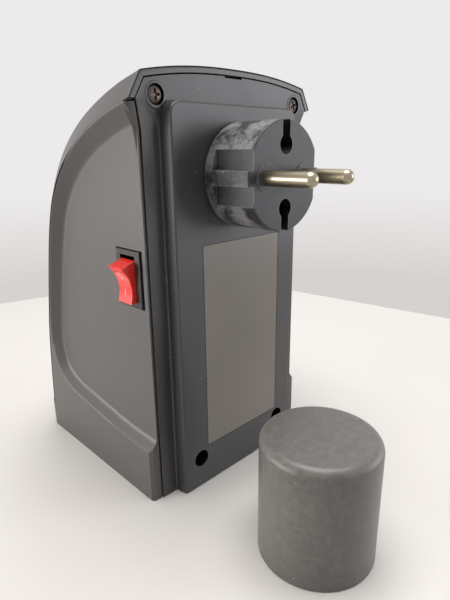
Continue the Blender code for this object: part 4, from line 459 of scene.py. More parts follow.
def face_outwards(bm):
    bmesh.ops.recalc_face_normals(bm, faces=bm.faces)
    if bm.calc_volume(signed=True) < 0:
        bmesh.ops.reverse_faces(bm, faces=bm.faces)


def blocks(name, boxes):
    """Separate boxes, each between two corners."""
    bm = bmesh.new()
    for low, high in boxes:
        made = bmesh.ops.create_cube(bm, size=1)["verts"]
        bmesh.ops.scale(bm, vec=[h - l for l, h in zip(low, high)], verts=made)
        bmesh.ops.translate(bm, vec=[(h + l) / 2 for l, h in zip(low, high)], verts=made)
    return place(name, mesh_from(bm, name))


def rod(name, start, end, radius, steps=SMALL_ROUND_STEPS):
    start = Vector(start)
    axis = Vector(end) - start
    bm = bmesh.new()
    bmesh.ops.create_cone(bm, cap_ends=True, segments=steps, radius1=radius, radius2=radius,
                          depth=axis.length)
    turn = axis.to_track_quat('Z', 'Y').to_matrix().to_4x4()
    bm.transform(Matrix.Translation(start + axis / 2) @ turn)
    return place(name, mesh_from(bm, name))


def skin(bm, sections):
    """Faces over closed sections with the same number of points; gives back the cap at both ends."""
    rings = [[bm.verts.new(point) for point in section] for section in sections]
    for low, high in zip(rings, rings[1:]):
        for i in range(len(low)):
            bm.faces.new((low[i - 1], low[i], high[i], high[i - 1]))
    return [bm.faces.new(rings[0]), bm.faces.new(rings[-1])]


def plate(name, outline, start, end, turn):
    """Flat outline given a thickness from start to end, along the third axis of turn."""
    bm = bmesh.new()
    caps = skin(bm, [[(p[0], p[1], level) for p in outline] for level in (start, end)])
    bm.normal_update()
    if len(outline) > 4:
        bmesh.ops.triangulate(bm, faces=caps)
    bm.transform(turn)
    face_outwards(bm)
    return place(name, mesh_from(bm, name))


def loft(name, sections):
    """Solid between closed sections with the same number of points."""
    bm = bmesh.new()
    bmesh.ops.triangulate(bm, faces=skin(bm, sections))
    face_outwards(bm)
    return place(name, mesh_from(bm, name))


def turned(name, profile, turn=ALONG_Z, steps=ROUND_STEPS):
    """Solid of revolution of a (radius, height) profile; an end at radius zero is closed."""
    bm = bmesh.new()
    rings = []
    for radius, height in profile:
        if radius == 0:
            rings.append([bm.verts.new((0, 0, height))])
            continue
        angles = [2 * pi * k / steps for k in range(steps)]
        rings.append([bm.verts.new((radius * cos(a), radius * sin(a), height)) for a in angles])
    for one, two in zip(rings, rings[1:]):
        for i in range(steps):
            corners = [one[i % len(one)], one[(i + 1) % len(one)],
                       two[(i + 1) % len(two)], two[i % len(two)]]
            unique = [v for k, v in enumerate(corners) if v not in corners[:k]]
            bm.faces.new(unique)
    face_outwards(bm)
    bm.transform(turn)
    return place(name, mesh_from(bm, name))


def thick_sheet(name, outer, inner):
    """Closed shell between two grids of points with the same rows and columns."""
    bm = bmesh.new()
    grids = [[[bm.verts.new(p) for p in row] for row in grid] for grid in (outer, inner)]
    for grid in grids:
        for near, far in zip(grid, grid[1:]):
            for i in range(len(near) - 1):
                bm.faces.new((near[i], near[i + 1], far[i + 1], far[i]))
    edges = [[grid[0] for grid in grids], [grid[-1] for grid in grids],
             [[row[0] for row in grid] for grid in grids],
             [[row[-1] for row in grid] for grid in grids]]
    for one, two in edges:
        for i in range(len(one) - 1):
            bm.faces.new((one[i], one[i + 1], two[i + 1], two[i]))
    face_outwards(bm)
    return place(name, mesh_from(bm, name))


CUT = 'DIFFERENCE'
JOIN = 'UNION'
KEEP = 'INTERSECT'
MIRROR = 'MIRROR'


def baked(obj):
    """Replaces an object's mesh by what its modifiers make of it."""
    graph = bpy.context.evaluated_depsgraph_get()
    mesh = bpy.data.meshes.new_from_object(obj.evaluated_get(graph))
    obj.modifiers.clear()
    obj.data = mesh
    return obj


def work(solid, *steps):
    """Cuts, joins and mirrors a solid in order, and clears the tools away."""
    tools = []
    for step in steps:
        if step == MIRROR:
            solid.modifiers.new("weld", 'WELD').merge_threshold = WELD_DISTANCE
            mirror = solid.modifiers.new("mirror", 'MIRROR')
            mirror.use_bisect_axis[0] = True
            mirror.merge_threshold = WELD_DISTANCE
            solid.modifiers.new("triangles", 'TRIANGULATE')
            continue
        operation, tool = step
        change = solid.modifiers.new(tool.name, 'BOOLEAN')
        change.operation = operation
        change.solver = 'EXACT'
        change.object = tool
        tools.append(tool)
    baked(solid)
    for tool in tools:
        bpy.data.objects.remove(tool)
    return solid


def mark_painted_hole_shade(obj, within):
    """Writes 1 in a face attribute on the faces whose middle lies within a deep hole: there painted shade
    darkens them.
    """
    values = [float(within(face.center)) for face in obj.data.polygons]
    obj.data.attributes.new("painted_hole_shade", 'FLOAT', 'FACE').data.foreach_set("value", values)


def dress(obj, name, body, nodes, material):
    """Finishes a piece: shading, material, what it rides on and the nodes that it stands for."""
    obj.name = name
    obj.data.name = name
    obj.data.materials.clear()
    obj.data.materials.append(material)
    obj.data.shade_smooth()
    obj.data.set_sharp_from_angle(angle=SHARP_ANGLE)
    weigh = obj.modifiers.new("flat faces first", 'WEIGHTED_NORMAL')
    weigh.keep_sharp = True
    weigh.weight = 100
    baked(obj)
    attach(obj, body)
    if nodes:
        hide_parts(*nodes)


# Materials

def linear(code):
    """Linear colour of an sRGB hex code."""
    parts = [int(code[i:i + 2], 16) / 255 for i in (0, 2, 4)]
    return [c / 12.92 if c <= 0.04045 else ((c + 0.055) / 1.055) ** 2.4 for c in parts] + [1.0]


def per_mm(size):
    """Texture scale for features of a size in millimetres."""
    return 1000 / size


def add(tree, kind, sockets=None, **settings):
    """Adds a node: settings are its properties, sockets its inputs, each a value or an output."""
    node = tree.nodes.new(kind)
    for key, value in settings.items():
        setattr(node, key, value)
    for key, value in (sockets or {}).items():
        if isinstance(value, bpy.types.NodeSocket):
            tree.links.new(value, node.inputs[key])
        else:
            node.inputs[key].default_value = value
    return node


def new_material(name, **sockets):
    """Material with a Principled shader and Object coordinates."""
    material = bpy.data.materials.new(name)
    material.use_nodes = True
    tree = material.node_tree
    shader = tree.nodes["Principled BSDF"]
    for key, value in sockets.items():
        shader.inputs[key.replace("_", " ")].default_value = value
    coordinates = add(tree, "ShaderNodeTexCoord").outputs["Object"]
    return material, tree, shader, coordinates


def into_shader(tree, shader, **outputs):
    """Links outputs to the shader's sockets."""
    for key, output in outputs.items():
        tree.links.new(output, shader.inputs[key.replace("_", " ")])


def layered(tree, base, layers):
    """Colour with others laid over it, each given as its share and its hex code."""
    for share, code in layers:
        over = add(tree, "ShaderNodeMix", {0: share, 6: base, 7: linear(code)}, data_type='RGBA')
        base = over.outputs[2]
    return base


def edge_share(tree, reach, most):
    """Share of 0 to most near an edge of the shape, within a reach in metres."""
    flat = add(tree, "ShaderNodeNewGeometry").outputs["Normal"]
    round_over = add(tree, "ShaderNodeBevel", {"Radius": reach}, samples=6)
    turn = add(tree, "ShaderNodeVectorMath", {0: flat, 1: round_over.outputs["Normal"]},
               operation='DOT_PRODUCT')
    share = add(tree, "ShaderNodeMapRange", {"Value": turn.outputs["Value"], "From Min": 0.998,
                                             "From Max": 0.93, "To Max": most})
    return share.outputs["Result"]


def moulded_plastic(name, colour, cloud, roughness, grain, relief, dust=0.0, scuff=None,
                    scuff_share=0.0, scuff_size=5.5, edge=None, painted_hole_shade=None):
    """Moulded plastic: a cloud in its colour and a spark-eroded grain of a size in millimetres.

    Over them lie scuffs, pale edges that are partly rubbed wear and partly a painted highlight, painted shade
    in deep holes, and specks of dust.
    """
    material, tree, shader, where = new_material(name)
    soft = add(tree, "ShaderNodeTexNoise", {"Vector": where, "Scale": per_mm(26), "Detail": 3.0})
    layers = [(soft.outputs["Fac"], cloud)]
    sheen = add(tree, "ShaderNodeMapRange", {
        "Value": soft.outputs["Fac"], "From Min": 0.3, "From Max": 0.7,
        "To Min": roughness - 0.03, "To Max": roughness + 0.04})
    gloss = sheen.outputs["Result"]
    if scuff:
        wide = add(tree, "ShaderNodeTexNoise", {"Vector": where, "Scale": per_mm(scuff_size),
                                                "Detail": 8.0, "Roughness": 0.72, "Distortion": 0.3})
        worn = add(tree, "ShaderNodeMapRange", {"Value": wide.outputs["Fac"], "From Min": 0.44,
                                                "From Max": 0.74, "To Max": scuff_share})
        layers.append((worn.outputs["Result"], scuff))
        dull = add(tree, "ShaderNodeMath", {0: worn.outputs["Result"], 1: 0.22, 2: gloss},
                   operation='MULTIPLY_ADD')
        gloss = dull.outputs["Value"]
    # Pale edges: partly rubbed wear, partly a painted highlight where light would catch them
    if edge:
        patch = add(tree, "ShaderNodeTexNoise", {"Vector": where, "Scale": per_mm(3), "Detail": 5.0})
        rubbed_and_highlit = add(tree, "ShaderNodeMath", {0: edge_share(tree, 0.0004, 0.55), 1: patch.outputs["Fac"]},
                     operation='MULTIPLY')
        layers.append((rubbed_and_highlit.outputs["Value"], edge))
    # Painted shade: faces marked as deep holes are darkened nearly to black
    if painted_hole_shade:
        hole_shade = add(tree, "ShaderNodeAttribute", attribute_name="painted_hole_shade")
        layers.append((hole_shade.outputs["Fac"], painted_hole_shade))
    if dust:
        # Specks of 0.2 to 0.3 mm, a few to the square centimetre
        cells = add(tree, "ShaderNodeTexVoronoi", {"Vector": where, "Scale": per_mm(2.6)})
        near = add(tree, "ShaderNodeMath", {0: cells.outputs["Distance"], 1: 0.07}, operation='LESS_THAN')
        chance = add(tree, "ShaderNodeSeparateColor", {"Color": cells.outputs["Color"]})
        rare = add(tree, "ShaderNodeMath", {0: chance.outputs["Red"], 1: dust}, operation='LESS_THAN')
        speck = add(tree, "ShaderNodeMath", {0: near.outputs["Value"], 1: rare.outputs["Value"]},
                    operation='MULTIPLY')
        layers.append((speck.outputs["Value"], DUST_COLOUR))
    fine = add(tree, "ShaderNodeTexNoise", {"Vector": where, "Scale": per_mm(grain), "Detail": 2.0})
    bump = add(tree, "ShaderNodeBump", {"Height": fine.outputs["Fac"], "Distance": relief, "Strength": 1.0})
    into_shader(tree, shader, Base_Color=layered(tree, linear(colour), layers), Roughness=gloss,
                Normal=bump.outputs["Normal"])
    return material


def drawn_metal(name, colour, stain, roughness, grain):
    """Plated or drawn metal: its colour clouds a little, and fine lines vary its gloss."""
    material, tree, shader, where = new_material(name, Metallic=1.0)
    soft = add(tree, "ShaderNodeTexNoise", {"Vector": where, "Scale": per_mm(grain), "Detail": 4.0})
    lines = add(tree, "ShaderNodeTexNoise", {"Vector": where, "Scale": per_mm(1.5), "Detail": 2.0})
    gloss = add(tree, "ShaderNodeMapRange", {"Value": lines.outputs["Fac"], "To Min": roughness - 0.03,
                                             "To Max": roughness + 0.03})
    into_shader(tree, shader, Base_Color=layered(tree, linear(colour), [(soft.outputs["Fac"], stain)]),
                Roughness=gloss.outputs["Result"])
    return material


def clear_plastic(name, colour, cloud, size, detail, smooth, dull, **sockets):
    """Polished plastic with a faint cloud of a size in millimetres in its colour and its gloss."""
    material, tree, shader, where = new_material(name, **sockets)
    haze = add(tree, "ShaderNodeTexNoise", {"Vector": where, "Scale": per_mm(size), "Detail": detail})
    gloss = add(tree, "ShaderNodeMapRange", {"Value": haze.outputs["Fac"], "To Min": smooth, "To Max": dull})
    into_shader(tree, shader, Base_Color=layered(tree, linear(colour), [(haze.outputs["Fac"], cloud)]),
                Roughness=gloss.outputs["Result"])
    return material


def scuffed_nylon():
    """Moulded polyamide of the plug: a plain face, chalky rubs on the sides over a mottled dark, painted
    shade on the flats and in the keyholes, and pale edges that are partly rubbed and partly a painted
    highlight.
    """
    material, tree, shader, where = new_material("moulded_nylon_plug", Specular_IOR_Level=0.35)
    spot = add(tree, "ShaderNodeSeparateXYZ", {"Vector": where})
    side = add(tree, "ShaderNodeMapRange", {
        "Value": spot.outputs["Y"], "From Min": PLUG_FACE_Y - 0.0009,
        "From Max": PLUG_FACE_Y - 0.0002, "To Min": 1.0, "To Max": 0.10})
    soft = add(tree, "ShaderNodeTexNoise", {"Vector": where, "Scale": per_mm(9), "Detail": 4.0})
    # The flats face sideways: painted shade makes them blue-black, and the rubs are kept off them so they
    # stay dark
    facing = add(tree, "ShaderNodeNewGeometry").outputs["True Normal"]
    facing = add(tree, "ShaderNodeSeparateXYZ", {"Vector": facing})
    across = add(tree, "ShaderNodeMath", {0: facing.outputs["X"]}, operation='ABSOLUTE')
    sideways = add(tree, "ShaderNodeMapRange", {"Value": across.outputs["Value"], "From Min": 0.975,
                                                "From Max": 0.995})
    reach = add(tree, "ShaderNodeMath", {0: spot.outputs["X"]}, operation='ABSOLUTE')
    sunk = add(tree, "ShaderNodeMath", {0: reach.outputs["Value"], 1: PLUG_FLAT_X + 0.0004},
               operation='LESS_THAN')
    flat = add(tree, "ShaderNodeMath", {0: sideways.outputs["Result"], 1: sunk.outputs["Value"]},
               operation='MULTIPLY')
    # Chalky rubs of 1 to 3 mm, in patches of 8 mm, with flecks under 1 mm
    wide = add(tree, "ShaderNodeTexNoise", {"Vector": where, "Scale": per_mm(1.7), "Detail": 9.0,
                                            "Roughness": 0.78})
    patch = add(tree, "ShaderNodeTexNoise", {"Vector": where, "Scale": per_mm(8), "Detail": 2.0})
    height = add(tree, "ShaderNodeMath", {0: wide.outputs["Fac"], 1: patch.outputs["Fac"]})
    chalk = add(tree, "ShaderNodeMapRange", {"Value": height.outputs["Value"], "From Min": 0.88,
                                             "From Max": 1.12, "To Max": 0.78})
    fleck = add(tree, "ShaderNodeTexNoise", {"Vector": where, "Scale": per_mm(0.9), "Detail": 3.0})
    bright = add(tree, "ShaderNodeMapRange", {"Value": fleck.outputs["Fac"], "From Min": 0.60,
                                              "From Max": 0.68, "To Max": 0.75})
    flecks = add(tree, "ShaderNodeMath", {0: bright.outputs["Result"], 1: patch.outputs["Fac"]},
                 operation='MULTIPLY')
    marked = add(tree, "ShaderNodeMath", {0: chalk.outputs["Result"], 1: flecks.outputs["Value"]},
                 operation='MAXIMUM')
    rubs_kept_off_flats = add(tree, "ShaderNodeMath", {0: flat.outputs["Value"], 1: -0.85, 2: 1.0},
               operation='MULTIPLY_ADD')
    beside = add(tree, "ShaderNodeMath", {0: marked.outputs["Value"], 1: side.outputs["Result"]},
                 operation='MULTIPLY')
    rubs = add(tree, "ShaderNodeMath", {0: beside.outputs["Value"], 1: rubs_kept_off_flats.outputs["Value"]},
               operation='MULTIPLY')
    # Pale edges on the plug: partly rubbed wear, partly a painted highlight
    edge = add(tree, "ShaderNodeMath", {0: edge_share(tree, 0.0005, 1.1), 1: wide.outputs["Fac"]},
               operation='MULTIPLY')
    # Painted shade in the keyholes: their faces are darkened nearly to black
    hole_shade = add(tree, "ShaderNodeAttribute", attribute_name="painted_hole_shade")
    layers = ((soft.outputs["Fac"], "2f3133"), (flat.outputs["Value"], "1f2226"),
              (rubs.outputs["Value"], "8c8c8e"), (edge.outputs["Value"], "969592"),
              (hole_shade.outputs["Fac"], "090909"))
    gloss = add(tree, "ShaderNodeMath", {0: rubs.outputs["Value"], 1: 0.35, 2: 0.42},
                operation='MULTIPLY_ADD')
    fine = add(tree, "ShaderNodeTexNoise", {"Vector": where, "Scale": per_mm(0.3), "Detail": 2.0})
    grain = add(tree, "ShaderNodeBump", {"Height": fine.outputs["Fac"], "Distance": 0.00002, "Strength": 1.0})
    into_shader(tree, shader, Base_Color=layered(tree, linear("26282a"), layers),
                Roughness=gloss.outputs["Value"], Normal=grain.outputs["Normal"])
    return material


DUST_COLOUR = "c8c6c2"
# ABS, moulded in a spark-eroded tool: a dark body with a broad soft sheen, and pale edges that are partly
# rubbed wear and partly a painted highlight
shell_abs = moulded_plastic("moulded_abs_shell", "545352", "595857", 0.44, 0.35, 0.000012, dust=0.03,
                            edge="8a8886")
hood_abs = moulded_plastic("moulded_abs_hood", "4a4948", "504f4d", 0.36, 0.35, 0.000010, dust=0.03,
                           edge="8a8886")
# Painted shade darkens the back cover's deep screw holes and screw seats nearly to black
cover_abs = moulded_plastic("moulded_abs_back_cover", "3f3f40", "454546", 0.38, 0.35, 0.000010,
                            dust=0.18, edge="77787a", painted_hole_shade="0b0b0b")
# The same ABS, nearly black, for what sits in openings, and for the sheets that paint the shade behind the
# hood's joints and on the duct; the bezel's pale edges are a painted highlight
black_abs = moulded_plastic("moulded_abs_black", "1b1b1c", "202021", 0.35, 0.30, 0.000008)
bezel_abs = moulded_plastic("moulded_abs_bezel", "242425", "2c2c2d", 0.33, 0.30, 0.000008, dust=0.04,
                            edge="6c6c6e")
grille_abs = moulded_plastic("moulded_abs_grille", "1d1d1e", "242424", 0.45, 0.40, 0.000012)
# Polythene of the cap, soft and rubbed, so it scuffs pale in fine patches
cap_polythene = moulded_plastic("moulded_polythene_cap", "555351", "6c6a67", 0.38, 0.30, 0.00002,
                                scuff="8d8983", scuff_share=0.4, scuff_size=2.6, dust=0.08,
                                edge="a09c94")
# Polyester film with a matt coat: one flat warm grey, smoother than the plastic round it
label_film = moulded_plastic("matt_polyester_film", "78726a", "827c74", 0.36, 0.20, 0.000004, dust=0.04)
# Silicone rubber of the buttons, pale and dull
button_rubber = moulded_plastic("moulded_silicone_rubber", "bcbbb8", "c4c3c0", 0.55, 0.25, 0.00001)
# White ink on the rocker, thin enough to let a little of the red through
mark_white = moulded_plastic("printed_white_ink", "e6d2d0", "ecdcda", 0.50, 0.30, 0.000004)
# Plain plastics of the blower and heater, dull and coarse: polypropylene, phenolic, glass-filled resin
blower_pp = moulded_plastic("moulded_polypropylene", "262626", "2c2c2c", 0.50, 0.50, 0.00002)
heat_resin = moulded_plastic("moulded_phenolic_resin", "8f7d5a", "9a8866", 0.60, 0.40, 0.00003)
duct_resin = moulded_plastic("moulded_glass_filled_resin", "3a3530", "443f39", 0.60, 0.40, 0.00003)
# Boards and what they carry, in the usual colours of such parts, each with a low sheen
fibre_board = moulded_plastic("glass_fibre_board", "1c5a30", "236338", 0.45, 0.30, 0.000006)
relay_case = moulded_plastic("moulded_relay_case", "173a86", "1b408e", 0.35, 0.50, 0.000004)
film_wrap = moulded_plastic("wrapped_capacitor_film", "c89a22", "d0a22c", 0.35, 0.50, 0.000004)
component_case = moulded_plastic("moulded_component_case", "161617", "1b1b1c", 0.40, 0.40, 0.000006)
# Metals: warm nickel with a soft shine, dull dark screws, and bright steel, brass and aluminium inside
nickel_plate = drawn_metal("polished_nickel_plate", "a89f89", "9b927c", 0.30, 5)
screw_steel = drawn_metal("dark_plated_steel", "5a524c", "4a433e", 0.42, 1.5)
bright_steel = drawn_metal("ground_steel", "b9b9b9", "adadad", 0.28, 3)
zinc_steel = drawn_metal("zinc_plated_steel", "a6a6a4", "989896", 0.35, 4)
stamped_brass = drawn_metal("stamped_brass", "c8a468", "b8945a", 0.30, 4)
rolled_aluminium = drawn_metal("rolled_aluminium_fins", "cfcfd0", "c0c0c2", 0.35, 3)
# Smoked acrylic of the display, cast and glossy: nearly black
lens_acrylic = clear_plastic("smoked_acrylic", "0b0b0e", "131317", 8, 4.0, 0.06, 0.14, Coat_Weight=0.6,
                             Coat_Roughness=0.03)
# Red polycarbonate of the rocker, moulded and polished: light spreads inside it
rocker_red = clear_plastic("polished_red_polycarbonate", "fc2c22", "ff4234", 4, 2.0, 0.22, 0.32,
                           Subsurface_Weight=0.35, Subsurface_Radius=(0.004, 0.0006, 0.0004),
                           Coat_Weight=0.3, Coat_Roughness=0.12)
plug_nylon = scuffed_nylon()


# Hood

def hood_path(inset=0):
    return front_profile(inset, HOOD_BACK_Y, HOOD_FOOT_HEIGHT)


def hood_points(path, insets, edge_round):
    """Grid of points on the hood, from its back rim to its foot; each row is set in by its inset."""
    grid = []
    last = len(path) - 1
    for row, point in enumerate(path):
        half = hood_section(insets[row], edge_round)
        along = (path[min(row + 1, last)] - path[max(row - 1, 0)]).normalized()
        outward = Vector((along.y, -along.x))
        if outward.x > 0:
            outward = -outward
        near_rim = max(0, 1 - (path[0].x - point.x) / SQUARE_REACH)
        outward = outward.lerp(Vector((0, 1)), near_rim).normalized()
        near_foot = max(0, 1 - (point.y - path[-1].y) / SQUARE_REACH)
        outward = outward.lerp(Vector((-1, 0)), near_foot).normalized()
        line = []
        for x, rise, strip in [(-x, r, s) for x, r, s in reversed(half[1:])] + half:
            spot = point + outward * (rise + strip * seam_draw(point.y))
            line.append((x * width_share(spot.y), spot.x, spot.y))
        grid.append(line)
    return grid


def hood_skin(name, wall, rim_round=0.0):
    """The hood's sheet with a wall thickness; its back rim may be softened outside."""
    path = hood_path()
    insets = [0.0] * len(path)
    if rim_round:
        turns = list(reversed(quarter_turn(EDGE_STEPS)))[1:]
        step = (path[0] - path[1]).length
        rim = [path[0]] + [path[0].lerp(path[1], (1 - sin(a)) * rim_round / step) for a in turns]
        insets = [rim_round] + [rim_round * (1 - cos(a)) for a in turns] + insets[1:]
        path = rim + path[1:]
    outer = hood_points(path, insets, HOOD_EDGE_ROUND)
    inner = hood_points(path, [wall] * len(path), HOOD_EDGE_ROUND / 4)
    return thick_sheet(name, outer, inner)


def control_frame():
    """Frame of the display and buttons: X across, Y up the slope, Z out of the hood.

    It stands on the nearest point of the coarser path that the CAD model takes.
    """
    wanted = PLATE_Y - PANEL_SHARE * DEPTH
    marks = [Vector((PLATE_Y - d * DEPTH, h * CORNER_HEIGHT)) for d, h in FRONT_PROFILE_SHARES]
    coarse = smooth_path(marks, PATH_STEPS)[::PATH_STEPS // 2]
    near = min([p for p in coarse if hood_path()[0].x > p.x], key=lambda p: abs(p.x - wanted))
    return Matrix.Translation((0, near.x, near.y)) @ Matrix.Rotation(CONTROL_LEAN, 4, 'X')


CONTROL = control_frame()
BUTTON_PLACES = [BUTTON_SPACING * (k - (BUTTONS - 1) / 2) for k in range(BUTTONS)]


def control_rod(name, x, up, low, high, radius):
    """Rod that stands square to the control frame."""
    return rod(name, CONTROL @ Vector((x, up, low)), CONTROL @ Vector((x, up, high)), radius)


def display_window(name, grow):
    outline = rounded_rectangle((-DISPLAY_WIDTH / 2 - grow, DISPLAY_UP - DISPLAY_HEIGHT / 2 - grow),
                                (DISPLAY_WIDTH / 2 + grow, DISPLAY_UP + DISPLAY_HEIGHT / 2 + grow),
                                DISPLAY_CORNER + grow)
    return plate(name, outline, -CONTROL_BOARD_DEPTH, CONTROL_BOARD_DEPTH, CONTROL)


def grille_prism(name, grow):
    outline = rounded_rectangle((-GRILLE_HALF_WIDTH - grow, GRILLE_LOW - grow),
                                (GRILLE_HALF_WIDTH + grow, GRILLE_HIGH + grow), GRILLE_FRAME + grow)
    return plate(name, outline, -HEATER_FRONT_Y, DEPTH, ALONG_Y)


def make_hood():
    hood = hood_skin("hood", HOOD_WALL, HOOD_RIM_ROUND)
    steps = []
    top = COVER_INNER_Y - GAP
    for side in (-1, 1):
        x = side * TOP_SCREW_X
        steps += [
            (JOIN, rod("post", (x, top, TOP_SCREW_Z), (x, top - 2 * POST_RADIUS, TOP_SCREW_Z),
                       POST_RADIUS)),
            (JOIN, control_rod("boss", side * CONTROL_BOSS_X, CONTROL_BOSS_UP,
                               GAP - CONTROL_BOARD_DEPTH, 0, CONTROL_BOSS_RADIUS)),
            (CUT, rod("post_bore", (x, top + OVERRUN, TOP_SCREW_Z),
                      (x, top - SCREW_LENGTH / 2 - GAP, TOP_SCREW_Z), SCREW_SHANK_RADIUS + GAP))]
    steps += [(CUT, display_window("window", 0)), (CUT, grille_prism("grille_opening", 0))]
    for x in BUTTON_PLACES:
        steps.append((CUT, control_rod("button_hole", x, -BUTTON_DOWN, -CONTROL_BOARD_DEPTH,
                                       CONTROL_BOARD_DEPTH, BUTTON_RADIUS + GAP)))
    work(hood, *steps)
    dress(hood, "hood_shell", "root", ["front_cover"], hood_abs)


def make_display():
    lens = hood_skin("lens", LENS_THICKNESS)
    work(lens, (KEEP, display_window("lens_edge", -GAP)))
    dress(lens, "smoked_lens", "root", ["display_lens"], lens_acrylic)


def button_height(x):
    """Height of the hood's outer face over the control frame, where a button stands."""
    inverse = CONTROL.inverted()
    local = [inverse @ Vector((0, p.x, p.y)) for p in hood_path()]
    above = [p for p in local if p.y > -BUTTON_DOWN][-1]
    below = [p for p in local if p.y <= -BUTTON_DOWN][0]
    share = (above.y + BUTTON_DOWN) / (above.y - below.y)
    return above.z + (below.z - above.z) * share + crown_rise(x)


def make_buttons():
    """Round buttons with a dished top, and below the hood a flange and a stem."""
    foot = GAP - CONTROL_BOARD_DEPTH + TACT_HEIGHT + 2 * BUTTON_TRAVEL + GAP
    edge = BUTTON_PROUD / 2
    for k, x in enumerate(BUTTON_PLACES):
        face = button_height(x)
        flange = face - HOOD_WALL - 3 * GAP
        crown = face + BUTTON_PROUD
        dish = [(BUTTON_RADIUS * DISH_SHARE * s, crown - edge / 3 * (1 - s ** 2))
                for s in (0, 0.25, 0.5, 0.75, 1)]
        below = flange - BUTTON_FLANGE_THICKNESS
        profile = (dish + rounded_edge(BUTTON_RADIUS, crown, edge)
                   + [(BUTTON_RADIUS, flange), (BUTTON_FLANGE_RADIUS, flange),
                      (BUTTON_FLANGE_RADIUS, below), (BUTTON_STEM_RADIUS, below),
                      (BUTTON_STEM_RADIUS, foot), (0, foot)])
        name = "button_%d" % (k + 1)
        button = turned(name, profile, CONTROL @ Matrix.Translation((x, -BUTTON_DOWN, 0)),
                        SMALL_ROUND_STEPS)
        dress(button, name + "_rubber", name + "_body", [name], button_rubber)


# Patterns that repeat

def new_tree(name, inputs):
    """Geometry tree with its named inputs: the tree, their identifiers by name, and its group input."""
    tree = bpy.data.node_groups.new(name, 'GeometryNodeTree')
    for way in ('OUTPUT', 'INPUT'):
        tree.interface.new_socket("Geometry", in_out=way, socket_type='NodeSocketGeometry')
    keys = {}
    for key, kind, value in inputs:
        socket = tree.interface.new_socket(key, in_out='INPUT', socket_type=kind)
        socket.default_value = value
        keys[key] = socket.identifier
    return tree, keys, add(tree, "NodeGroupInput").outputs


def end_tree(tree, instances, material):
    """Ends a tree: its instances made real, in their material."""
    real = add(tree, "GeometryNodeRealizeInstances", {"Geometry": instances})
    paint = add(tree, "GeometryNodeSetMaterial", {"Geometry": real.outputs["Geometry"],
                                                  "Material": material})
    add(tree, "NodeGroupOutput", {"Geometry": paint.outputs["Geometry"]})


def grown_from(name, mesh, tree, keys, **values):
    """Mesh that a node tree makes of another mesh; values are by the input's name."""
    obj = place(name, mesh)
    modifier = obj.modifiers.new(name, 'NODES')
    modifier.node_group = tree
    for key, value in values.items():
        modifier[keys[key.replace("_", " ")]] = value
    return baked(obj)


def slat_tree():
    """Round-edged slats across a line of points, each leaning by an angle."""
    tree, keys, given = new_tree("slats_along_a_line", (
        ("Slats", 'NodeSocketInt', 10), ("Slat Width", 'NodeSocketFloat', 0.05),
        ("Slat Depth", 'NodeSocketFloat', 0.003), ("Slat Thickness", 'NodeSocketFloat', 0.001),
        ("Edge Round", 'NodeSocketFloat', 0.0003), ("Lean", 'NodeSocketFloat', 0.3)))
    line = add(tree, "GeometryNodeMeshToCurve", {"Mesh": given["Geometry"]})
    spots = add(tree, "GeometryNodeResampleCurve", {"Curve": line.outputs["Curve"],
                                                    "Count": given["Slats"]})
    section = add(tree, "GeometryNodeCurvePrimitiveQuadrilateral",
                  {"Width": given["Slat Depth"], "Height": given["Slat Thickness"]})
    soft = add(tree, "GeometryNodeFilletCurve", {"Curve": section.outputs["Curve"], "Limit Radius": True,
                                                 "Radius": given["Edge Round"], "Count": 3}, mode='POLY')
    half = add(tree, "ShaderNodeMath", {0: given["Slat Width"], 1: 0.5}, operation='MULTIPLY')
    minus = add(tree, "ShaderNodeMath", {0: half.outputs["Value"], 1: -1.0}, operation='MULTIPLY')
    start = add(tree, "ShaderNodeCombineXYZ", {"X": minus.outputs["Value"]})
    end = add(tree, "ShaderNodeCombineXYZ", {"X": half.outputs["Value"]})
    across = add(tree, "GeometryNodeCurvePrimitiveLine", {"Start": start.outputs["Vector"],
                                                         "End": end.outputs["Vector"]})
    slat = add(tree, "GeometryNodeCurveToMesh", {"Curve": across.outputs["Curve"],
                                                 "Profile Curve": soft.outputs["Curve"],
                                                 "Fill Caps": True})
    turn = add(tree, "ShaderNodeCombineXYZ", {"X": given["Lean"]})
    rows = add(tree, "GeometryNodeInstanceOnPoints", {"Points": spots.outputs["Curve"],
                                                      "Instance": slat.outputs["Mesh"],
                                                      "Rotation": turn.outputs["Vector"]})
    end_tree(tree, rows.outputs["Instances"], grille_abs)
    return tree, keys


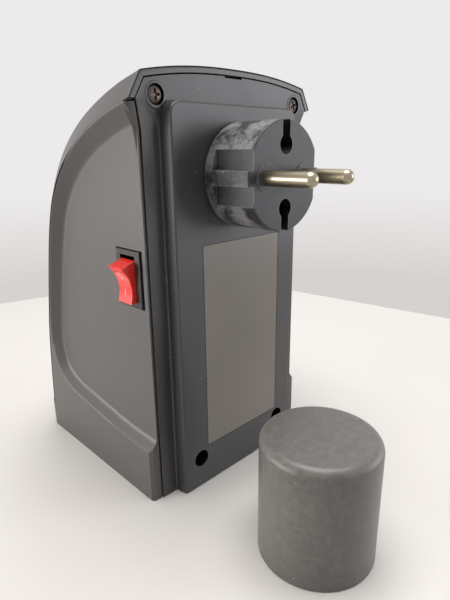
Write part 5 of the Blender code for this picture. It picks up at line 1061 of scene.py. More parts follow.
def make_grille():
    """A frame that follows the hood, a rib down its middle, and leaning slats."""
    path = hood_path(HOOD_WALL / 2)
    low = GRILLE_LOW + GRILLE_FRAME
    high = GRILLE_HIGH - GRILLE_FRAME
    rows = int((high - low) / GRILLE_PITCH)
    spots = []
    for k in range(rows + 1):
        z = (low + high) / 2 + GRILLE_PITCH * (k - rows / 2)
        above = [p for p in path if p.y >= z][-1]
        below = [p for p in path if p.y < z][0]
        spot = above.lerp(below, (above.y - z) / (above.y - below.y))
        spots.append((0, spot.x - crown_rise(SLAT_CROWN_X), spot.y))
    line = bpy.data.meshes.new("slat_line")
    line.from_pydata(spots, [(k, k + 1) for k in range(rows)], [])
    slats = grown_from("slats", line, *slat_tree(), Slats=rows + 1,
                       Slat_Width=2 * (GRILLE_HALF_WIDTH - GRILLE_FRAME / 2), Slat_Depth=SLAT_DEPTH,
                       Slat_Thickness=GRILLE_PITCH - GRILLE_SLOT, Edge_Round=SLAT_ROUND,
                       Lean=GRILLE_LEAN)
    surround = hood_skin("grille_surround", HOOD_WALL)
    opening = rounded_rectangle((-GRILLE_HALF_WIDTH + GRILLE_FRAME, low),
                                (GRILLE_HALF_WIDTH - GRILLE_FRAME, high), GRILLE_FRAME / 2)
    work(surround, (KEEP, grille_prism("grille_edge", -GAP)),
         (CUT, plate("grille_inside", opening, -HEATER_FRONT_Y, DEPTH, ALONG_Y)))
    rib = hood_skin("grille_rib", HOOD_WALL)
    work(rib, (KEEP, blocks("rib_room", [((-GRILLE_RIB / 2, -DEPTH, low - GAP),
                                          (GRILLE_RIB / 2, HEATER_FRONT_Y, high + GAP))])))
    for piece, name, nodes in ((surround, "grille_frame", ["outlet_grille"]),
                               (rib, "grille_middle_rib", []), (slats, "grille_slats", [])):
        dress(piece, name, "root", nodes, grille_abs)


def screw_tree(screw):
    """One screw at each point, turned by a random angle about the way it is driven."""
    tree, keys, given = new_tree("screws_at_points", (
        ("Most Turn", 'NodeSocketFloat', 0.5), ("Screw Size", 'NodeSocketFloat', 1.0)))
    model = add(tree, "GeometryNodeObjectInfo", {"Object": screw})
    angle = add(tree, "FunctionNodeRandomValue", {2: 0.0, 3: given["Most Turn"], "Seed": 4},
                data_type='FLOAT')
    turn = add(tree, "ShaderNodeCombineXYZ", {"Y": angle.outputs[1]})
    heads = add(tree, "GeometryNodeInstanceOnPoints", {
        "Points": given["Geometry"], "Instance": model.outputs["Geometry"],
        "Rotation": turn.outputs["Vector"], "Scale": given["Screw Size"]})
    end_tree(tree, heads.outputs["Instances"], screw_steel)
    return tree, keys


def make_screws():
    """Pan head screws with a cross recess; their heads face the back."""
    radius, height = SCREW_HEAD_RADIUS, SCREW_HEAD_HEIGHT
    length = SCREW_LENGTH / 2
    dome = [(radius * sin(a) * 0.98, height * (0.55 + 0.45 * cos(a))) for a in quarter_turn(7)]
    thread = [(SCREW_SHANK_RADIUS * (1.0 if k % 2 else 0.8), -length * k / THREAD_ROWS)
              for k in range(THREAD_ROWS)]
    profile = dome + [(radius, height * 0.3), (radius * 0.97, 0)] + thread + [(0, -length)]
    screw = turned("screw_model", profile, TURNED_TO_BACK, SMALL_ROUND_STEPS)
    arms = ((RECESS_REACH, RECESS_HALF_WIDTH), (RECESS_HALF_WIDTH, RECESS_REACH))
    work(screw, *[(CUT, blocks("recess", [((-a, height - RECESS_DEPTH, -b), (a, height + OVERRUN, b))]))
                  for a, b in arms])
    top_seat = COVER_TOP_Y - height
    low_seat = PLATE_Y - LOW_HOLE_DEPTH + GAP
    spots = bpy.data.meshes.new("screw_spots")
    spots.from_pydata([(side * x, y, z) for x, y, z in ((TOP_SCREW_X, top_seat, TOP_SCREW_Z),
                                                        (LOW_SCREW_X, low_seat, LOW_SCREW_Z))
                       for side in (-1, 1)], [], [])
    screws = grown_from("screws", spots, *screw_tree(screw), Most_Turn=0.5, Screw_Size=1.0)
    bpy.data.objects.remove(screw)
    dress(screws, "cross_head_screws", "root",
          ["top_screw_left", "top_screw_right", "bottom_screw_left", "bottom_screw_right"],
          screw_steel)


# Main housing

def panel_outline(grow):
    """Outline of the inset side panel in the side view, grown by a distance."""
    beyond = PLATE_Y + DEPTH / 4
    front = front_profile(PANEL_INSET, beyond, PANEL_FRONT_HEIGHT)[::2]
    rise = PANEL_FRONT_HEIGHT - PANEL_LOW_HEIGHT
    low = [Vector((PLATE_Y - d * DEPTH, PANEL_LOW_HEIGHT + h * rise)) for d, h in PANEL_LOW_EDGE_SHARES]
    curve = smooth_path([front[-1]] + low + [Vector((beyond, PANEL_LOW_HEIGHT))], 4)
    return offset_outline(front[:-1] + curve, grow)


def panel_cutter():
    """Sinks the side panel at +X and leaves a bevel round it with a soft foot and a soft brow."""
    slope = PANEL_BEVEL_RISE / PANEL_BEVEL_WIDTH
    grows = ([-PANEL_ROUND] + [PANEL_ROUND * s for s in (-0.6, -0.2, 0.2, 0.6)] + [PANEL_ROUND]
             + [PANEL_BEVEL_WIDTH * s for s in PANEL_RINGS])
    sections = []
    for grow in grows:
        ring = []
        for p in panel_outline(grow):
            rise = max(grow, 0) * slope
            if abs(grow) < PANEL_ROUND:
                rise = slope * (grow + PANEL_ROUND) ** 2 / (4 * PANEL_ROUND)
            outer = SEAM_HALF_WIDTH * width_share(p.y) - SIDE_PANEL_X
            level = max(0.0, min(1.0, 0.5 + 0.5 * (outer - rise) / PANEL_BROW))
            rise = outer * (1 - level) + rise * level - PANEL_BROW * level * (1 - level) / 2
            ring.append((SIDE_PANEL_X + rise, p.x, p.y))
        sections.append(ring)
    sections.append([(SEAM_HALF_WIDTH + OVERRUN, y, z) for x, y, z in sections[-1]])
    return loft("panel_cut", sections)


def cover_outline(arch_gap):
    """Outline of the back cover, seen along Y: anticlockwise in (x, z)."""
    arch = [Vector((x, CORNER_HEIGHT + rise))
            for x, rise, strip in hood_section(HOOD_WALL + arch_gap, ARCH_EDGE_ROUND)]
    right = [Vector((COVER_HALF_WIDTH, COVER_BOTTOM)), Vector((COVER_HALF_WIDTH, COVER_SLOPE_FOOT))]
    half = right + list(reversed(arch))
    return half + [Vector((-p.x, p.y)) for p in reversed(half[:-1])]


def housing_core():
    """Block under the hood's long edges, and the cuts that make it a tray with an open back."""
    outline = front_profile(SEAM_INSET, HOUSING_BACK_Y, 0, at_seam=True) + [Vector((HOUSING_BACK_Y, 0))]
    core = plate("housing", outline, -SEAM_HALF_WIDTH, SEAM_HALF_WIDTH, ALONG_X)
    for vert in core.data.vertices:
        vert.co.x *= width_share(vert.co.z)
    foot_half = SEAM_HALF_WIDTH * FOOT_WIDTH_SHARE
    radius = PLINTH_CORNER_RADIUS
    front = PLATE_Y - DEPTH + PLINTH_FRONT_INSET
    plinth = ([Vector((foot_half, HOUSING_BACK_Y)), Vector((-foot_half, HOUSING_BACK_Y))]
              + arc((radius - foot_half, front + radius), radius, pi, 1.5 * pi, CORNER_STEPS)
              + arc((foot_half - radius, front + radius), radius, 1.5 * pi, 2 * pi, CORNER_STEPS))
    out_x = foot_half + OVERRUN
    out_y = HOUSING_BACK_Y + OVERRUN
    reach = HOUSING_BACK_CHAMFER + 2 * OVERRUN
    corner = [Vector((out_x, out_y)), Vector((out_x - reach, out_y)), Vector((out_x, out_y - reach))]
    return core, [
        (JOIN, plate("plinth", plinth, 0, PLINTH_HEIGHT, ALONG_Z)),
        (CUT, blocks("room", [((-HOUSING_INNER_X, front + FLOOR_WALL, FLOOR_WALL),
                               (HOUSING_INNER_X, PLATE_Y + OVERRUN, CORNER_HEIGHT + OVERRUN))])),
        (CUT, plate("cover_room", offset_outline(cover_outline(COVER_ARCH_GAP), GAP),
                    GAP - COVER_INNER_Y, -PLATE_Y - OVERRUN, ALONG_Y)),
        (CUT, plate("corner_cut", corner, -OVERRUN, PANEL_LOW_HEIGHT + PANEL_BEVEL_WIDTH, ALONG_Z))]


def housing_side():
    """Steps at +X that are mirrored: screw post with its web, ledge, side panel and shoulder."""
    post_y = PLATE_Y - LOW_HOLE_DEPTH - LOW_BOSS_FLOOR - GAP
    end_y = post_y - POST_LENGTH
    half = POST_RADIUS / 3
    ledge_y = PLATE_Y - LEDGE_INSET
    ledge_top = POWER_BOARD_Z - GAP
    return [
        (JOIN, rod("post", (LOW_SCREW_X, post_y, LOW_SCREW_Z), (LOW_SCREW_X, end_y, LOW_SCREW_Z),
                   POST_RADIUS)),
        (JOIN, blocks("web", [((LOW_SCREW_X - half, end_y + half, FLOOR_WALL / 2),
                               (LOW_SCREW_X + half, post_y - half, LOW_SCREW_Z - POST_RADIUS / 2))])),
        (JOIN, blocks("ledge", [((HOUSING_INNER_X - LEDGE_WIDTH, ledge_y - LEDGE_LENGTH,
                                  ledge_top - LEDGE_THICKNESS),
                                 (HOUSING_INNER_X + SIDE_WALL / 2, ledge_y, ledge_top))])),
        (CUT, rod("bore", (LOW_SCREW_X, post_y + OVERRUN, LOW_SCREW_Z),
                  (LOW_SCREW_X, post_y - SCREW_LENGTH + GAP, LOW_SCREW_Z), SCREW_SHANK_RADIUS + GAP)),
        (CUT, panel_cutter()),
        (JOIN, loft("shoulder", [[(*outside, z), (*behind, z), (behind[0], COVER_INNER_Y - GAP, z)]
                                 for z, outside, behind in SHOULDER]))]


def housing_stands():
    """What carries the blower and the heater, in the middle of the floor."""
    middle = (HEATER_BACK_Y + HEATER_FRONT_Y) / 2
    scroll_foot = FAN_Z - SCROLL_START_RADIUS - SCROLL_GROWTH - SCROLL_WALL - GAP
    return [
        (JOIN, blocks("blower_stand", [
            ((SCROLL_MIDDLE_X - STAND_WIDTH / 2, FAN_Y - STAND_WALL, FLOOR_WALL / 2),
             (SCROLL_MIDDLE_X + STAND_WIDTH / 2, FAN_Y, scroll_foot))])),
        (JOIN, blocks("heater_stand", [
            ((-HEATER_WIDTH / 3, middle - STAND_WALL / 2, FLOOR_WALL / 2),
             (HEATER_WIDTH / 3, middle + STAND_WALL / 2, HEATER_Z - HEATER_HEIGHT / 2 - GAP))]))]


def housing_openings():
    """Slots of the air intake at -X, and the seat and hole of the switch at +X."""
    steps = []
    for k in range(INTAKE_SLOTS):
        up = (k - (INTAKE_SLOTS - 1) / 2) * INTAKE_PITCH
        reach = (INTAKE_RADIUS ** 2 - up ** 2) ** 0.5
        slot = rounded_rectangle((FAN_Y - reach, FAN_Z + up - INTAKE_SLOT / 2),
                                 (FAN_Y + reach, FAN_Z + up + INTAKE_SLOT / 2), INTAKE_SLOT * 0.48, 6)
        steps.append((CUT, plate("intake", slot, -SEAM_HALF_WIDTH, OVERRUN - HOUSING_INNER_X, ALONG_X)))
    half_w = BEZEL_WIDTH / 2
    half_h = BEZEL_HEIGHT / 2
    body_w = SWITCH_BODY_WIDTH / 2 + GAP
    body_h = SWITCH_BODY_HEIGHT / 2 + GAP
    seat = ((SIDE_PANEL_X - BEZEL_THICKNESS - GAP, SWITCH_Y - half_w - GAP, SWITCH_Z - half_h - GAP),
            (SEAM_HALF_WIDTH, SWITCH_Y + half_w + BEZEL_BACK_GAP, SWITCH_Z + half_h + GAP))
    hole = ((HOUSING_INNER_X - OVERRUN, SWITCH_Y - body_w, SWITCH_Z - body_h),
            (SEAM_HALF_WIDTH, SWITCH_Y + body_w, SWITCH_Z + body_h))
    return steps + [(CUT, blocks("switch_seat", [seat])), (CUT, blocks("switch_hole", [hole]))]


def make_housing():
    housing, core_steps = housing_core()
    work(housing, *core_steps, *housing_side(), MIRROR, *housing_stands(), *housing_openings())
    dress(housing, "housing_shell", "root", ["main_housing"], shell_abs)


def make_seam_shade_tongues():
    """Dark tongue inside each side wall, behind the joint between hood and housing: shaped like the real
    joint's tongue, and made near-black as painted shade in the joint.
    """
    back = HOUSING_BACK_Y - LIP_REACH
    over = front_profile(SEAM_INSET - LIP_REACH, back, PLINTH_HEIGHT, at_seam=True)
    under = front_profile(SEAM_INSET + 2 * LIP_REACH, back, PLINTH_HEIGHT, at_seam=True)
    start = HOUSING_INNER_X - GAP
    for name, side in (("left", -1), ("right", 1)):
        lip = plate("lip", over + list(reversed(under)), side * start, side * (start - LIP_THICKNESS),
                    ALONG_X)
        dress(lip, "seam_lip_" + name, "root", [], black_abs)


def make_duct_shade_wall():
    """Near-black wall on the air duct, a sheet of painted shade: no daylight shows through the heater, from
    grille to intake.
    """
    low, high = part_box("air_duct")
    outline = rounded_rectangle((-BAFFLE_HALF_WIDTH, high[2]), (BAFFLE_HALF_WIDTH, BAFFLE_HIGH),
                                BAFFLE_CORNER)
    wall = plate("baffle", outline, -(low[1] + BAFFLE_THICKNESS), -low[1], ALONG_Y)
    dress(wall, "duct_baffle", "root", [], black_abs)


# Back cover, label

def raised_plate(name, rings):
    """Raised middle of the back cover; each ring is (y, growth) on its leaning side."""
    sections = []
    rise = PLATE_Y - FLANK_Y
    for y, grow in rings:
        lean = (PLATE_FOOT_HALF_WIDTH - PLATE_HALF_WIDTH) * (PLATE_Y - y) / rise
        width = PLATE_HALF_WIDTH + lean + grow
        top = PLATE_TOP + lean + grow
        radius = max(PLATE_CORNER_RADIUS + grow, PLATE_LEAST_RADIUS)
        foot = COVER_BOTTOM - min(grow, 0)
        outline = ([Vector((-width, foot)), Vector((width, foot))]
                   + arc((width - radius, top - radius), radius, 0, pi / 2, PLATE_CORNER_STEPS)
                   + arc((radius - width, top - radius), radius, pi / 2, pi, PLATE_CORNER_STEPS))
        sections.append([(p.x, y, p.y) for p in outline])
    return loft(name, sections)


def top_pad():
    """Thicker top of the back cover, with a slope down to the flank."""
    sections = []
    for y, gap in ((COVER_MIDDLE_Y, COVER_ARCH_INNER_GAP), (COVER_TOP_Y, COVER_ARCH_GAP)):
        sections.append([(p.x, y, p.y) for p in cover_outline(gap) if p.y > COVER_SLOPE_FOOT])
    below = COVER_SLOPE_FOOT - OVERRUN
    slope = [Vector(p) for p in ((COVER_TOP_Y, COVER_SLOPE_TOP), (FLANK_Y, COVER_SLOPE_FOOT),
                                 (FLANK_Y, below), (PLATE_Y, below), (PLATE_Y, COVER_SLOPE_TOP))]
    return work(loft("top_pad", sections),
                (CUT, plate("slope_cut", slope, -SEAM_HALF_WIDTH, SEAM_HALF_WIDTH, ALONG_X)))


def plate_rings():
    """Rings of the plate's outside: a soft foot on the flank, and a soft edge round its face."""
    foot = PLATE_FOOT_ROUND
    return ([(FLANK_Y - COVER_WALL / 2, foot), (FLANK_Y - WELD_DISTANCE, foot)]
            + [(FLANK_Y + foot * (1 - cos(a)), foot * (1 - sin(a))) for a in quarter_turn(EDGE_STEPS)[1:]]
            + soft_rings(PLATE_Y, PLATE_EDGE_ROUND))


def screw_seats(side):
    """Lobe and seat of a top screw, and boss and deep hole of a bottom screw, at one side."""
    def across(name, x, z, start, end, radius, round_steps=HOLE_STEPS):
        return rod(name, (x, start, z), (x, end, z), radius, round_steps)

    x, z, low_x, low_z = side * TOP_SCREW_X, TOP_SCREW_Z, side * LOW_SCREW_X, LOW_SCREW_Z
    top = COVER_TOP_Y + LOBE_PROUD
    lobe = ([(0, top)] + rounded_edge(TOP_LOBE_RADIUS, top, LOBE_ROUND)
            + [(TOP_LOBE_RADIUS, COVER_MIDDLE_Y), (0, COVER_MIDDLE_Y)])
    boss_end = PLATE_Y - LOW_HOLE_DEPTH - LOW_BOSS_FLOOR
    bore = SCREW_SHANK_RADIUS + GAP
    return [
        (JOIN, turned("lobe", lobe, Matrix.Translation((x, 0, z)) @ TURNED_TO_BACK, HOLE_STEPS)),
        (CUT, across("seat", x, z, COVER_TOP_Y - SCREW_HEAD_HEIGHT - GAP, PLATE_Y - COVER_WALL / 3,
                     SCREW_SEAT_RADIUS)),
        (CUT, across("bore", x, z, COVER_INNER_Y - OVERRUN, COVER_TOP_Y, bore, SMALL_ROUND_STEPS)),
        (JOIN, across("low_boss", low_x, low_z, PLATE_Y - COVER_WALL / 2, boss_end,
                      LOW_HOLE_RADIUS + LOW_BOSS_WALL)),
        (CUT, across("low_hole", low_x, low_z, PLATE_Y + OVERRUN, PLATE_Y - LOW_HOLE_DEPTH,
                     LOW_HOLE_RADIUS)),
        (CUT, across("low_bore", low_x, low_z, PLATE_Y, boss_end - OVERRUN, bore, SMALL_ROUND_STEPS))]


def label_outline(grow):
    return rounded_rectangle((LABEL_X - LABEL_WIDTH / 2 - grow, LABEL_LOW - grow),
                             (LABEL_X + LABEL_WIDTH / 2 + grow, LABEL_HIGH + grow), FILM_ROUND + grow)


def make_back_cover():
    cover = plate("cover", cover_outline(COVER_ARCH_INNER_GAP), -FLANK_Y, -COVER_INNER_Y, ALONG_Y)
    crest = CORNER_HEIGHT + CROWN - HOOD_WALL - COVER_ARCH_GAP
    snap = ((-SNAP_SLOT_WIDTH / 2, COVER_INNER_Y - OVERRUN, crest - SNAP_SLOT_DEPTH),
            (SNAP_SLOT_WIDTH / 2, PLATE_Y, crest + OVERRUN))
    work(cover, (JOIN, top_pad()), (JOIN, raised_plate("plate_outside", plate_rings())),
         (CUT, raised_plate("plate_inside", [(COVER_INNER_Y - OVERRUN, -COVER_WALL),
                                             (PLATE_Y - COVER_WALL, -COVER_WALL)])),
         *screw_seats(-1), *screw_seats(1),
         (CUT, rod("neck_hole", (0, COVER_INNER_Y - OVERRUN, PLUG_Z), (0, PLATE_Y + OVERRUN, PLUG_Z),
                   PLUG_NECK_RADIUS + GAP, ROUND_STEPS)),
         (CUT, plate("label_pocket", label_outline(GAP), LABEL_POCKET - PLATE_Y, -PLATE_Y - OVERRUN,
                     ALONG_Y)),
         (CUT, blocks("snap_slot", [snap])))
    holes = [(side * x, z, radius) for x, z, radius in ((LOW_SCREW_X, LOW_SCREW_Z, LOW_HOLE_RADIUS),
                                                        (TOP_SCREW_X, TOP_SCREW_Z, SCREW_SEAT_RADIUS))
             for side in (-1, 1)]
    # The faces in the screw holes and seats are marked for painted shade
    mark_painted_hole_shade(cover, lambda p: any((p.x - x) ** 2 + (p.z - z) ** 2 < (radius + GAP / 10) ** 2
                                      for x, z, radius in holes))
    dress(cover, "back_cover_shell", "root", ["back_cover"], cover_abs)


def make_label():
    """Bare film in the pocket of the plate."""
    label = plate("label", label_outline(0), LABEL_THICKNESS - PLATE_Y, -PLATE_Y, ALONG_Y)
    dress(label, "bare_label_film", "root", ["rating_label"], label_film)


# Plug, pins and cap

def on_plug(name, profile, x=0, steps=HOLE_STEPS):
    """Turns a profile about the plug's axis, or about the axis of the pin at x."""
    return turned(name, profile, Matrix.Translation((x, 0, PLUG_Z)) @ TURNED_TO_BACK, steps)


def plug_profile():
    edge = PLUG_EDGE_ROUND
    back = [(PLUG_RADIUS - edge + edge * cos(a), PLUG_BACK_Y + edge - edge * sin(a))
            for a in quarter_turn(EDGE_STEPS)]
    neck = [(PLUG_NECK_RADIUS, PLUG_BACK_Y), (PLUG_NECK_RADIUS, PLUG_NECK_Y), (0, PLUG_NECK_Y)]
    return [(0, PLUG_FACE_Y)] + rounded_edge(PLUG_RADIUS, PLUG_FACE_Y, edge) + back + neck


def plug_flats():
    """Cuts of two flats at each side of the plug; a rib stays between them, and a rim behind them."""
    reach = PLUG_RADIUS + OVERRUN
    flats = []
    for side in (-1, 1):
        for up in (-1, 1):
            low_x, high_x = sorted((side * PLUG_FLAT_X, side * reach))
            low_z, high_z = sorted((up * PLUG_RIB_WIDTH / 2, up * reach))
            flats.append(((low_x, PLUG_BACK_Y + PLUG_RIM_LENGTH, PLUG_Z + low_z),
                          (high_x, PLUG_FACE_Y + OVERRUN, PLUG_Z + high_z)))
    return CUT, blocks("flats", flats)


def keyhole(up):
    """Cut of a keyhole: a round end near the middle, and a slot that is open to the rim."""
    half = KEYHOLE_SLOT_WIDTH / 2
    reach = PLUG_RADIUS + OVERRUN
    mouth = acos(half / KEYHOLE_RADIUS)
    ring = arc((0, KEYHOLE_OFFSET), KEYHOLE_RADIUS, pi - mouth, 2 * pi + mouth, SMALL_ROUND_STEPS)
    slot = [Vector((half, reach)), Vector((-half, reach))]
    outline = [Vector((p.x, PLUG_Z + up * p.y)) for p in ring + slot]
    return CUT, plate("keyhole", outline, -PLUG_FACE_Y - OVERRUN, KEYHOLE_DEPTH - PLUG_FACE_Y, ALONG_Y)


def pin_seat(x):
    """Raised collar round a pin, and the hole of the pin."""
    soft = PIN_COLLAR_HEIGHT / 2
    top = PLUG_FACE_Y + PIN_COLLAR_HEIGHT
    low = PLUG_FACE_Y - OVERRUN
    collar = [(0, top), (PIN_COLLAR_RADIUS - soft, top), (PIN_COLLAR_RADIUS, PLUG_FACE_Y + soft),
              (PIN_COLLAR_RADIUS, low), (0, low)]
    return [(JOIN, on_plug("collar", collar, x)),
            (CUT, rod("pin_hole", (x, PLUG_NECK_Y - OVERRUN, PLUG_Z), (x, PLUG_FACE_Y + OVERRUN, PLUG_Z),
                      PIN_RADIUS + GAP / 3, HOLE_STEPS))]


def make_plug():
    plug = on_plug("plug", plug_profile(), steps=LARGE_ROUND_STEPS)
    work(plug, plug_flats(), keyhole(-1), keyhole(1), *pin_seat(-PIN_SPACING / 2), *pin_seat(PIN_SPACING / 2))
    # The faces inside the keyholes are marked for painted shade
    mark_painted_hole_shade(plug, lambda p: abs(p.x) < KEYHOLE_RADIUS and PLUG_BACK_Y < p.y < PLUG_FACE_Y - GAP
                 and KEYHOLE_OFFSET - KEYHOLE_RADIUS - GAP < abs(p.z - PLUG_Z) < PLUG_RADIUS - 2 * GAP)
    dress(plug, "plug_shell", "plug", ["plug_body"], plug_nylon)


def make_pins():
    """Round pins with rounded tips."""
    tip = PLUG_FACE_Y + PIN_REACH
    nose = [(PIN_RADIUS * sin(a), tip - PIN_RADIUS * (1 - cos(a))) for a in quarter_turn(PIN_TIP_STEPS)]
    profile = nose + [(PIN_RADIUS, PLUG_NECK_Y - GAP), (0, PLUG_NECK_Y - GAP)]
    for name, side in (("left", -1), ("right", 1)):
        pin = on_plug("pin", profile, side * PIN_SPACING / 2)
        dress(pin, "nickel_pin_" + name, "plug", ["plug_pin_" + name], nickel_plate)


def make_cap():
    """Cap of the plug, mouth down, with a rounded top edge and a softened lip."""
    inner = CAP_RADIUS - CAP_WALL
    ceiling = CAP_HEIGHT - CAP_WALL
    lip = CAP_WALL / 4
    outside = rounded_edge(CAP_RADIUS, CAP_HEIGHT, CAP_EDGE_RADIUS, CAP_EDGE_STEPS)
    inside = rounded_edge(inner, ceiling, CAP_EDGE_RADIUS - CAP_WALL, CAP_INNER_STEPS)
    profile = ([(0, CAP_HEIGHT)] + outside
               + [(CAP_RADIUS, lip), (CAP_RADIUS - lip, 0), (inner + lip, 0), (inner, lip)]
               + list(reversed(inside)) + [(0, ceiling)])
    cap = turned("cap", profile, Matrix.Translation((CAP_X, CAP_Y, 0)), LARGE_ROUND_STEPS)
    dress(cap, "plug_cap_shell", "cap", ["plug_cap"], cap_polythene)


# Rocker switch

def rocker_face(share):
    """Distance of the rocker's hollow face from its pivot, at a share of its half height."""
    return ROCKER_TIP - ROCKER_HOLLOW * (1 - share ** 2)


def make_bezel(pivot):
    """Bezel with a softened edge, the switch's body behind it, and the room and socket of the rocker."""
    face_x = SIDE_PANEL_X + BEZEL_PROUD
    inner_x = SIDE_PANEL_X - BEZEL_THICKNESS
    end_x = inner_x - SWITCH_BODY_DEPTH
    body_w = SWITCH_BODY_WIDTH / 2
    body_h = SWITCH_BODY_HEIGHT / 2
    room_w = ROCKER_WIDTH / 2 + GAP
    sections = []
    for x, grow in [(inner_x, 0)] + soft_rings(face_x, BEZEL_ROUND, BEZEL_STEPS):
        half_w = BEZEL_WIDTH / 2
        half_h = BEZEL_HEIGHT / 2
        outline = rounded_rectangle((SWITCH_Y - half_w - grow, SWITCH_Z - half_h - grow),
                                    (SWITCH_Y + half_w + grow, SWITCH_Z + half_h + grow), BEZEL_CORNER + grow)
        sections.append([(x, p.x, p.y) for p in outline])
    body = ((end_x, SWITCH_Y - body_w, SWITCH_Z - body_h),
            (face_x - BEZEL_THICKNESS / 2, SWITCH_Y + body_w, SWITCH_Z + body_h))
    room = ((end_x + SWITCH_BODY_WALL, SWITCH_Y - room_w, SWITCH_Z - WINDOW_HALF_HEIGHT),
            (face_x + OVERRUN, SWITCH_Y + room_w, SWITCH_Z + WINDOW_HALF_HEIGHT))
    along = Vector((0, body_w + OVERRUN, 0))
    bezel = work(loft("bezel", sections), (JOIN, blocks("body", [body])), (CUT, blocks("room", [room])),
                 (CUT, rod("socket", pivot - along, pivot + along, ROCKER_PIN_RADIUS + GAP)))
    dress(bezel, "switch_bezel", "root", ["switch_housing"], bezel_abs)


def make_rocker(pivot, turn):
    """Key with a hollow face and softened edges, on its pin."""
    shares = [k / ROCKER_STEPS - 1 for k in range(2 * ROCKER_STEPS + 1)]
    outline = ([Vector((rocker_face(share), share * ROCKER_HALF_HEIGHT)) for share in shares]
               + [Vector((ROCKER_SHOULDER, ROCKER_SHOULDER_HALF_HEIGHT)), Vector((-ROCKER_BELLY, 0)),
                  Vector((ROCKER_SHOULDER, -ROCKER_SHOULDER_HALF_HEIGHT))])
    rocker = plate("rocker", outline, -ROCKER_WIDTH / 2, ROCKER_WIDTH / 2, turn @ ALONG_Y)
    edge = rocker.modifiers.new("edge", 'BEVEL')
    edge.width = ROCKER_EDGE_ROUND
    edge.segments = 3
    edge.limit_method = 'ANGLE'
    edge.angle_limit = radians(30)
    baked(rocker)
    reach = Vector((0, SWITCH_BODY_WIDTH / 2 - GAP, 0))
    work(rocker, (JOIN, rod("rocker_pin", pivot - reach, pivot + reach, ROCKER_PIN_RADIUS)))
    dress(rocker, "rocker_key", "rocker", ["rocker"], rocker_red)


def make_rocker_marks(turn):
    """A ring for off on the upper half of the rocker and a bar for on on the lower half, printed."""
    bm = bmesh.new()
    middle = ROCKER_HALF_HEIGHT * MARK_SHARE

    def spot(side, up):
        return bm.verts.new(turn @ Vector((rocker_face(up / ROCKER_HALF_HEIGHT) + MARK_PROUD, side, up)))

    turns = [2 * pi * k / SMALL_ROUND_STEPS for k in range(SMALL_ROUND_STEPS)]
    inner, outer = [[spot(radius * cos(a), middle + MARK_STRETCH * radius * sin(a)) for a in turns]
                    for radius in MARK_RING]
    for k in range(SMALL_ROUND_STEPS):
        bm.faces.new((inner[k - 1], outer[k - 1], outer[k], inner[k]))
    rows = [[spot(side * MARK_BAR_HALF_WIDTH, -middle + MARK_BAR_STEP * k) for side in (-1, 1)]
            for k in range(-MARK_BAR_STEPS, MARK_BAR_STEPS + 1)]
    for low, high in zip(rows, rows[1:]):
        bm.faces.new((low[0], low[1], high[1], high[0]))
    bmesh.ops.recalc_face_normals(bm, faces=bm.faces)
    if sum(f.normal.x for f in bm.faces) < 0:
        bmesh.ops.reverse_faces(bm, faces=bm.faces)
    marks = place("marks", mesh_from(bm, "marks"))
    dress(marks, "rocker_marks", "rocker", [], mark_white)


def make_switch():
    pivot = Vector((SIDE_PANEL_X - ROCKER_PIVOT_DEPTH, SWITCH_Y, SWITCH_Z))
    turn = Matrix.Translation(pivot) @ Matrix.Rotation(ROCKER_TILT, 4, 'Y')
    make_bezel(pivot)
    make_rocker(pivot, turn)
    make_rocker_marks(turn)


make_hood()
make_display()
make_buttons()
make_grille()
make_screws()
make_housing()
make_seam_shade_tongues()
make_duct_shade_wall()
make_back_cover()
make_label()
make_plug()
make_pins()
make_cap()
make_switch()

# The pieces inside keep their CAD shapes and get their finishes
INSIDE = (
    (black_abs, ("plug_retainer",)),
    (stamped_brass, ("pin_lug_left", "pin_lug_right", "switch_terminal_1", "switch_terminal_2",
                     "heater_terminal_left", "heater_terminal_right")),
    (blower_pp, ("blower_scroll", "blower_inlet_plate", "impeller")),
    (zinc_steel, ("fan_motor", "thermal_cutout")),
    (bright_steel, ("motor_shaft",)),
    (duct_resin, ("air_duct",)),
    (heat_resin, ("heater_frame",)),
    (rolled_aluminium, ("heating_element",)),
    (fibre_board, ("power_board", "control_board")),
    (relay_case, ("power_relay",)),
    (film_wrap, ("film_capacitor",)),
    (component_case, ("led_display", "tact_switch_1", "tact_switch_2", "tact_switch_3", "tact_switch_4")),
)
for finish, node_names in INSIDE:
    for node_name in node_names:
        for material_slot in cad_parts[node_name].material_slots:
            material_slot.material = finish


# Stage, light and camera

TABLE_CORNERS = ((-0.200, -0.216), (0.053, -0.272), (1.1, 1.3), (-0.247, 0.096))
WALL_WAY = (-0.698, -0.716, 0)      # the wall that lights is behind the heater, as the camera looks
LAMP_AIM = Vector((0, 0.03, 0.07))
LAMPS = (                           # name, place, width and height, power, colour
    ("left_lamp", (0.957, -0.499, 0.100), (0.7, 0.40), 8.8, "fff9f4"),
    ("right_lamp", (-0.571, 0.577, 0.189), (0.5, 0.4), 2.5, "f8f8ff"),
    ("top_lamp", (0.0, 0.03, 0.97), (0.7, 0.7), 12.0, "fffcf9"),
)
CAMERA_PLACE = (0.12579, 0.16456, 0.12549)  # solved from the photograph, with the pins as the measure
CAMERA_YAW = radians(-44.306)
CAMERA_PITCH = radians(-17.369)
CAMERA_ROLL = radians(-0.784)
CAMERA_LENS = 28.75
CAMERA_SENSOR = 36
CAMERA_NEAREST = 0.001


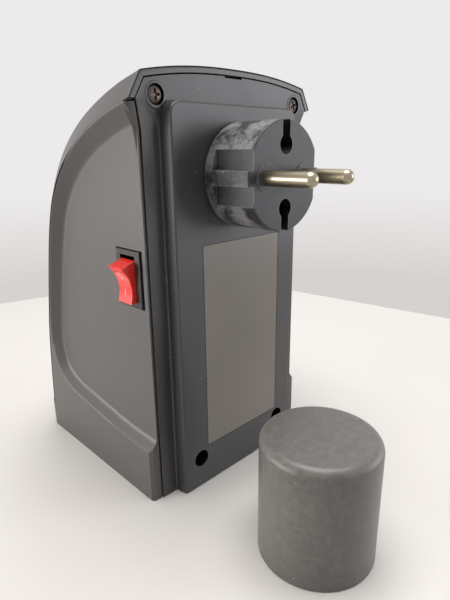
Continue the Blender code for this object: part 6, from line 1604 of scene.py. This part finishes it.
def make_stage():
    """A pale table top with a far corner."""
    bm = bmesh.new()
    bm.faces.new([bm.verts.new((x, y, 0)) for x, y in TABLE_CORNERS])
    floor = place("floor", mesh_from(bm, "floor"))
    if floor.data.polygons[0].normal.z < 0:
        floor.data.flip_normals()
    material, tree, shader, where = new_material("matt_white_board")
    soft = add(tree, "ShaderNodeTexNoise", {"Vector": where, "Scale": per_mm(60), "Detail": 2.0})
    tint = add(tree, "ShaderNodeMix", {0: soft.outputs["Fac"], 6: linear("dad7d3"), 7: linear("dddbd8")},
               data_type='RGBA')
    tree.links.new(tint.outputs[2], shader.inputs["Base Color"])
    shader.inputs["Roughness"].default_value = 0.6
    floor.data.materials.append(material)


def make_world():
    """Pale room: what is seen of it, and what lights the heater, are set apart."""
    world = bpy.data.worlds.new("pale_room")
    bpy.context.scene.world = world
    world.use_nodes = True
    tree = world.node_tree
    tree.nodes.clear()
    path = add(tree, "ShaderNodeLightPath")
    way = add(tree, "ShaderNodeTexCoord").outputs["Generated"]
    up = add(tree, "ShaderNodeSeparateXYZ", {"Vector": way})
    # What the camera sees of the wall is darker low down, just above the table: painted shade
    height = add(tree, "ShaderNodeMapRange", {"Value": up.outputs["Z"], "From Min": -0.24, "From Max": -0.08})
    wall = add(tree, "ShaderNodeMix", {0: height.outputs["Result"], 6: linear("d6d2cf"), 7: linear("eceaeb")},
               data_type='RGBA')
    wall_seen_with_painted_shade = add(tree, "ShaderNodeBackground", {"Color": wall.outputs[2], "Strength": 1.0})
    # The pale wall stands behind the heater; the side that the picture is taken from is dark
    behind = add(tree, "ShaderNodeVectorMath", {0: way, 1: WALL_WAY}, operation='DOT_PRODUCT')
    spread = add(tree, "ShaderNodeMapRange", {"Value": behind.outputs["Value"], "From Min": -0.1,
                                              "From Max": 0.5}, interpolation_type='SMOOTHSTEP')
    low = add(tree, "ShaderNodeMapRange", {"Value": up.outputs["Z"], "From Min": 0.16, "From Max": 0.46,
                                           "To Min": 2.1, "To Max": 0.0}, interpolation_type='SMOOTHSTEP')
    level = add(tree, "ShaderNodeMath", {0: spread.outputs["Result"], 1: low.outputs["Result"]},
                operation='MULTIPLY')
    lights = add(tree, "ShaderNodeBackground", {"Color": linear("f4f3f4"),
                                                "Strength": level.outputs["Value"]})
    # The camera sees the pale wall with its painted shade low down, also through clear plastic and in what is
    # shiny
    seen = add(tree, "ShaderNodeMath", {0: path.outputs["Is Camera Ray"],
                                        1: path.outputs["Is Transmission Ray"]}, operation='MAXIMUM')
    shiny = add(tree, "ShaderNodeMath", {0: seen.outputs["Value"], 1: path.outputs["Is Glossy Ray"]},
                operation='MAXIMUM')
    mix = add(tree, "ShaderNodeMixShader", {0: shiny.outputs["Value"], 1: lights.outputs[0],
                                            2: wall_seen_with_painted_shade.outputs[0]})
    add(tree, "ShaderNodeOutputWorld", {"Surface": mix.outputs[0]})


def into_scene(name, data, matrix):
    obj = bpy.data.objects.new(name, data)
    bpy.context.scene.collection.objects.link(obj)
    obj.matrix_world = matrix
    return obj


def make_lamp(name, place_at, size, power, colour):
    light = bpy.data.lights.new(name, 'AREA')
    light.shape = 'RECTANGLE'
    light.size, light.size_y = size
    light.energy = power
    light.color = linear(colour)[:3]
    turn = (LAMP_AIM - Vector(place_at)).to_track_quat('-Z', 'Y').to_matrix().to_4x4()
    into_scene(name, light, Matrix.Translation(place_at) @ turn)


def make_camera():
    forward = Vector((sin(CAMERA_YAW) * cos(CAMERA_PITCH), -cos(CAMERA_YAW) * cos(CAMERA_PITCH),
                      sin(CAMERA_PITCH)))
    flat_right = forward.cross(Vector((0, 0, 1))).normalized()
    flat_up = flat_right.cross(forward)
    right = cos(CAMERA_ROLL) * flat_right + sin(CAMERA_ROLL) * flat_up
    up = -sin(CAMERA_ROLL) * flat_right + cos(CAMERA_ROLL) * flat_up
    data = bpy.data.cameras.new("camera")
    data.lens = CAMERA_LENS
    data.sensor_width = CAMERA_SENSOR
    data.clip_start = CAMERA_NEAREST
    turn = Matrix((right, up, -forward)).transposed().to_4x4()
    bpy.context.scene.camera = into_scene("camera", data, Matrix.Translation(CAMERA_PLACE) @ turn)


make_stage()
make_world()
for lamp in LAMPS:
    make_lamp(*lamp)
make_camera()
bpy.context.scene.view_settings.view_transform = 'Standard'
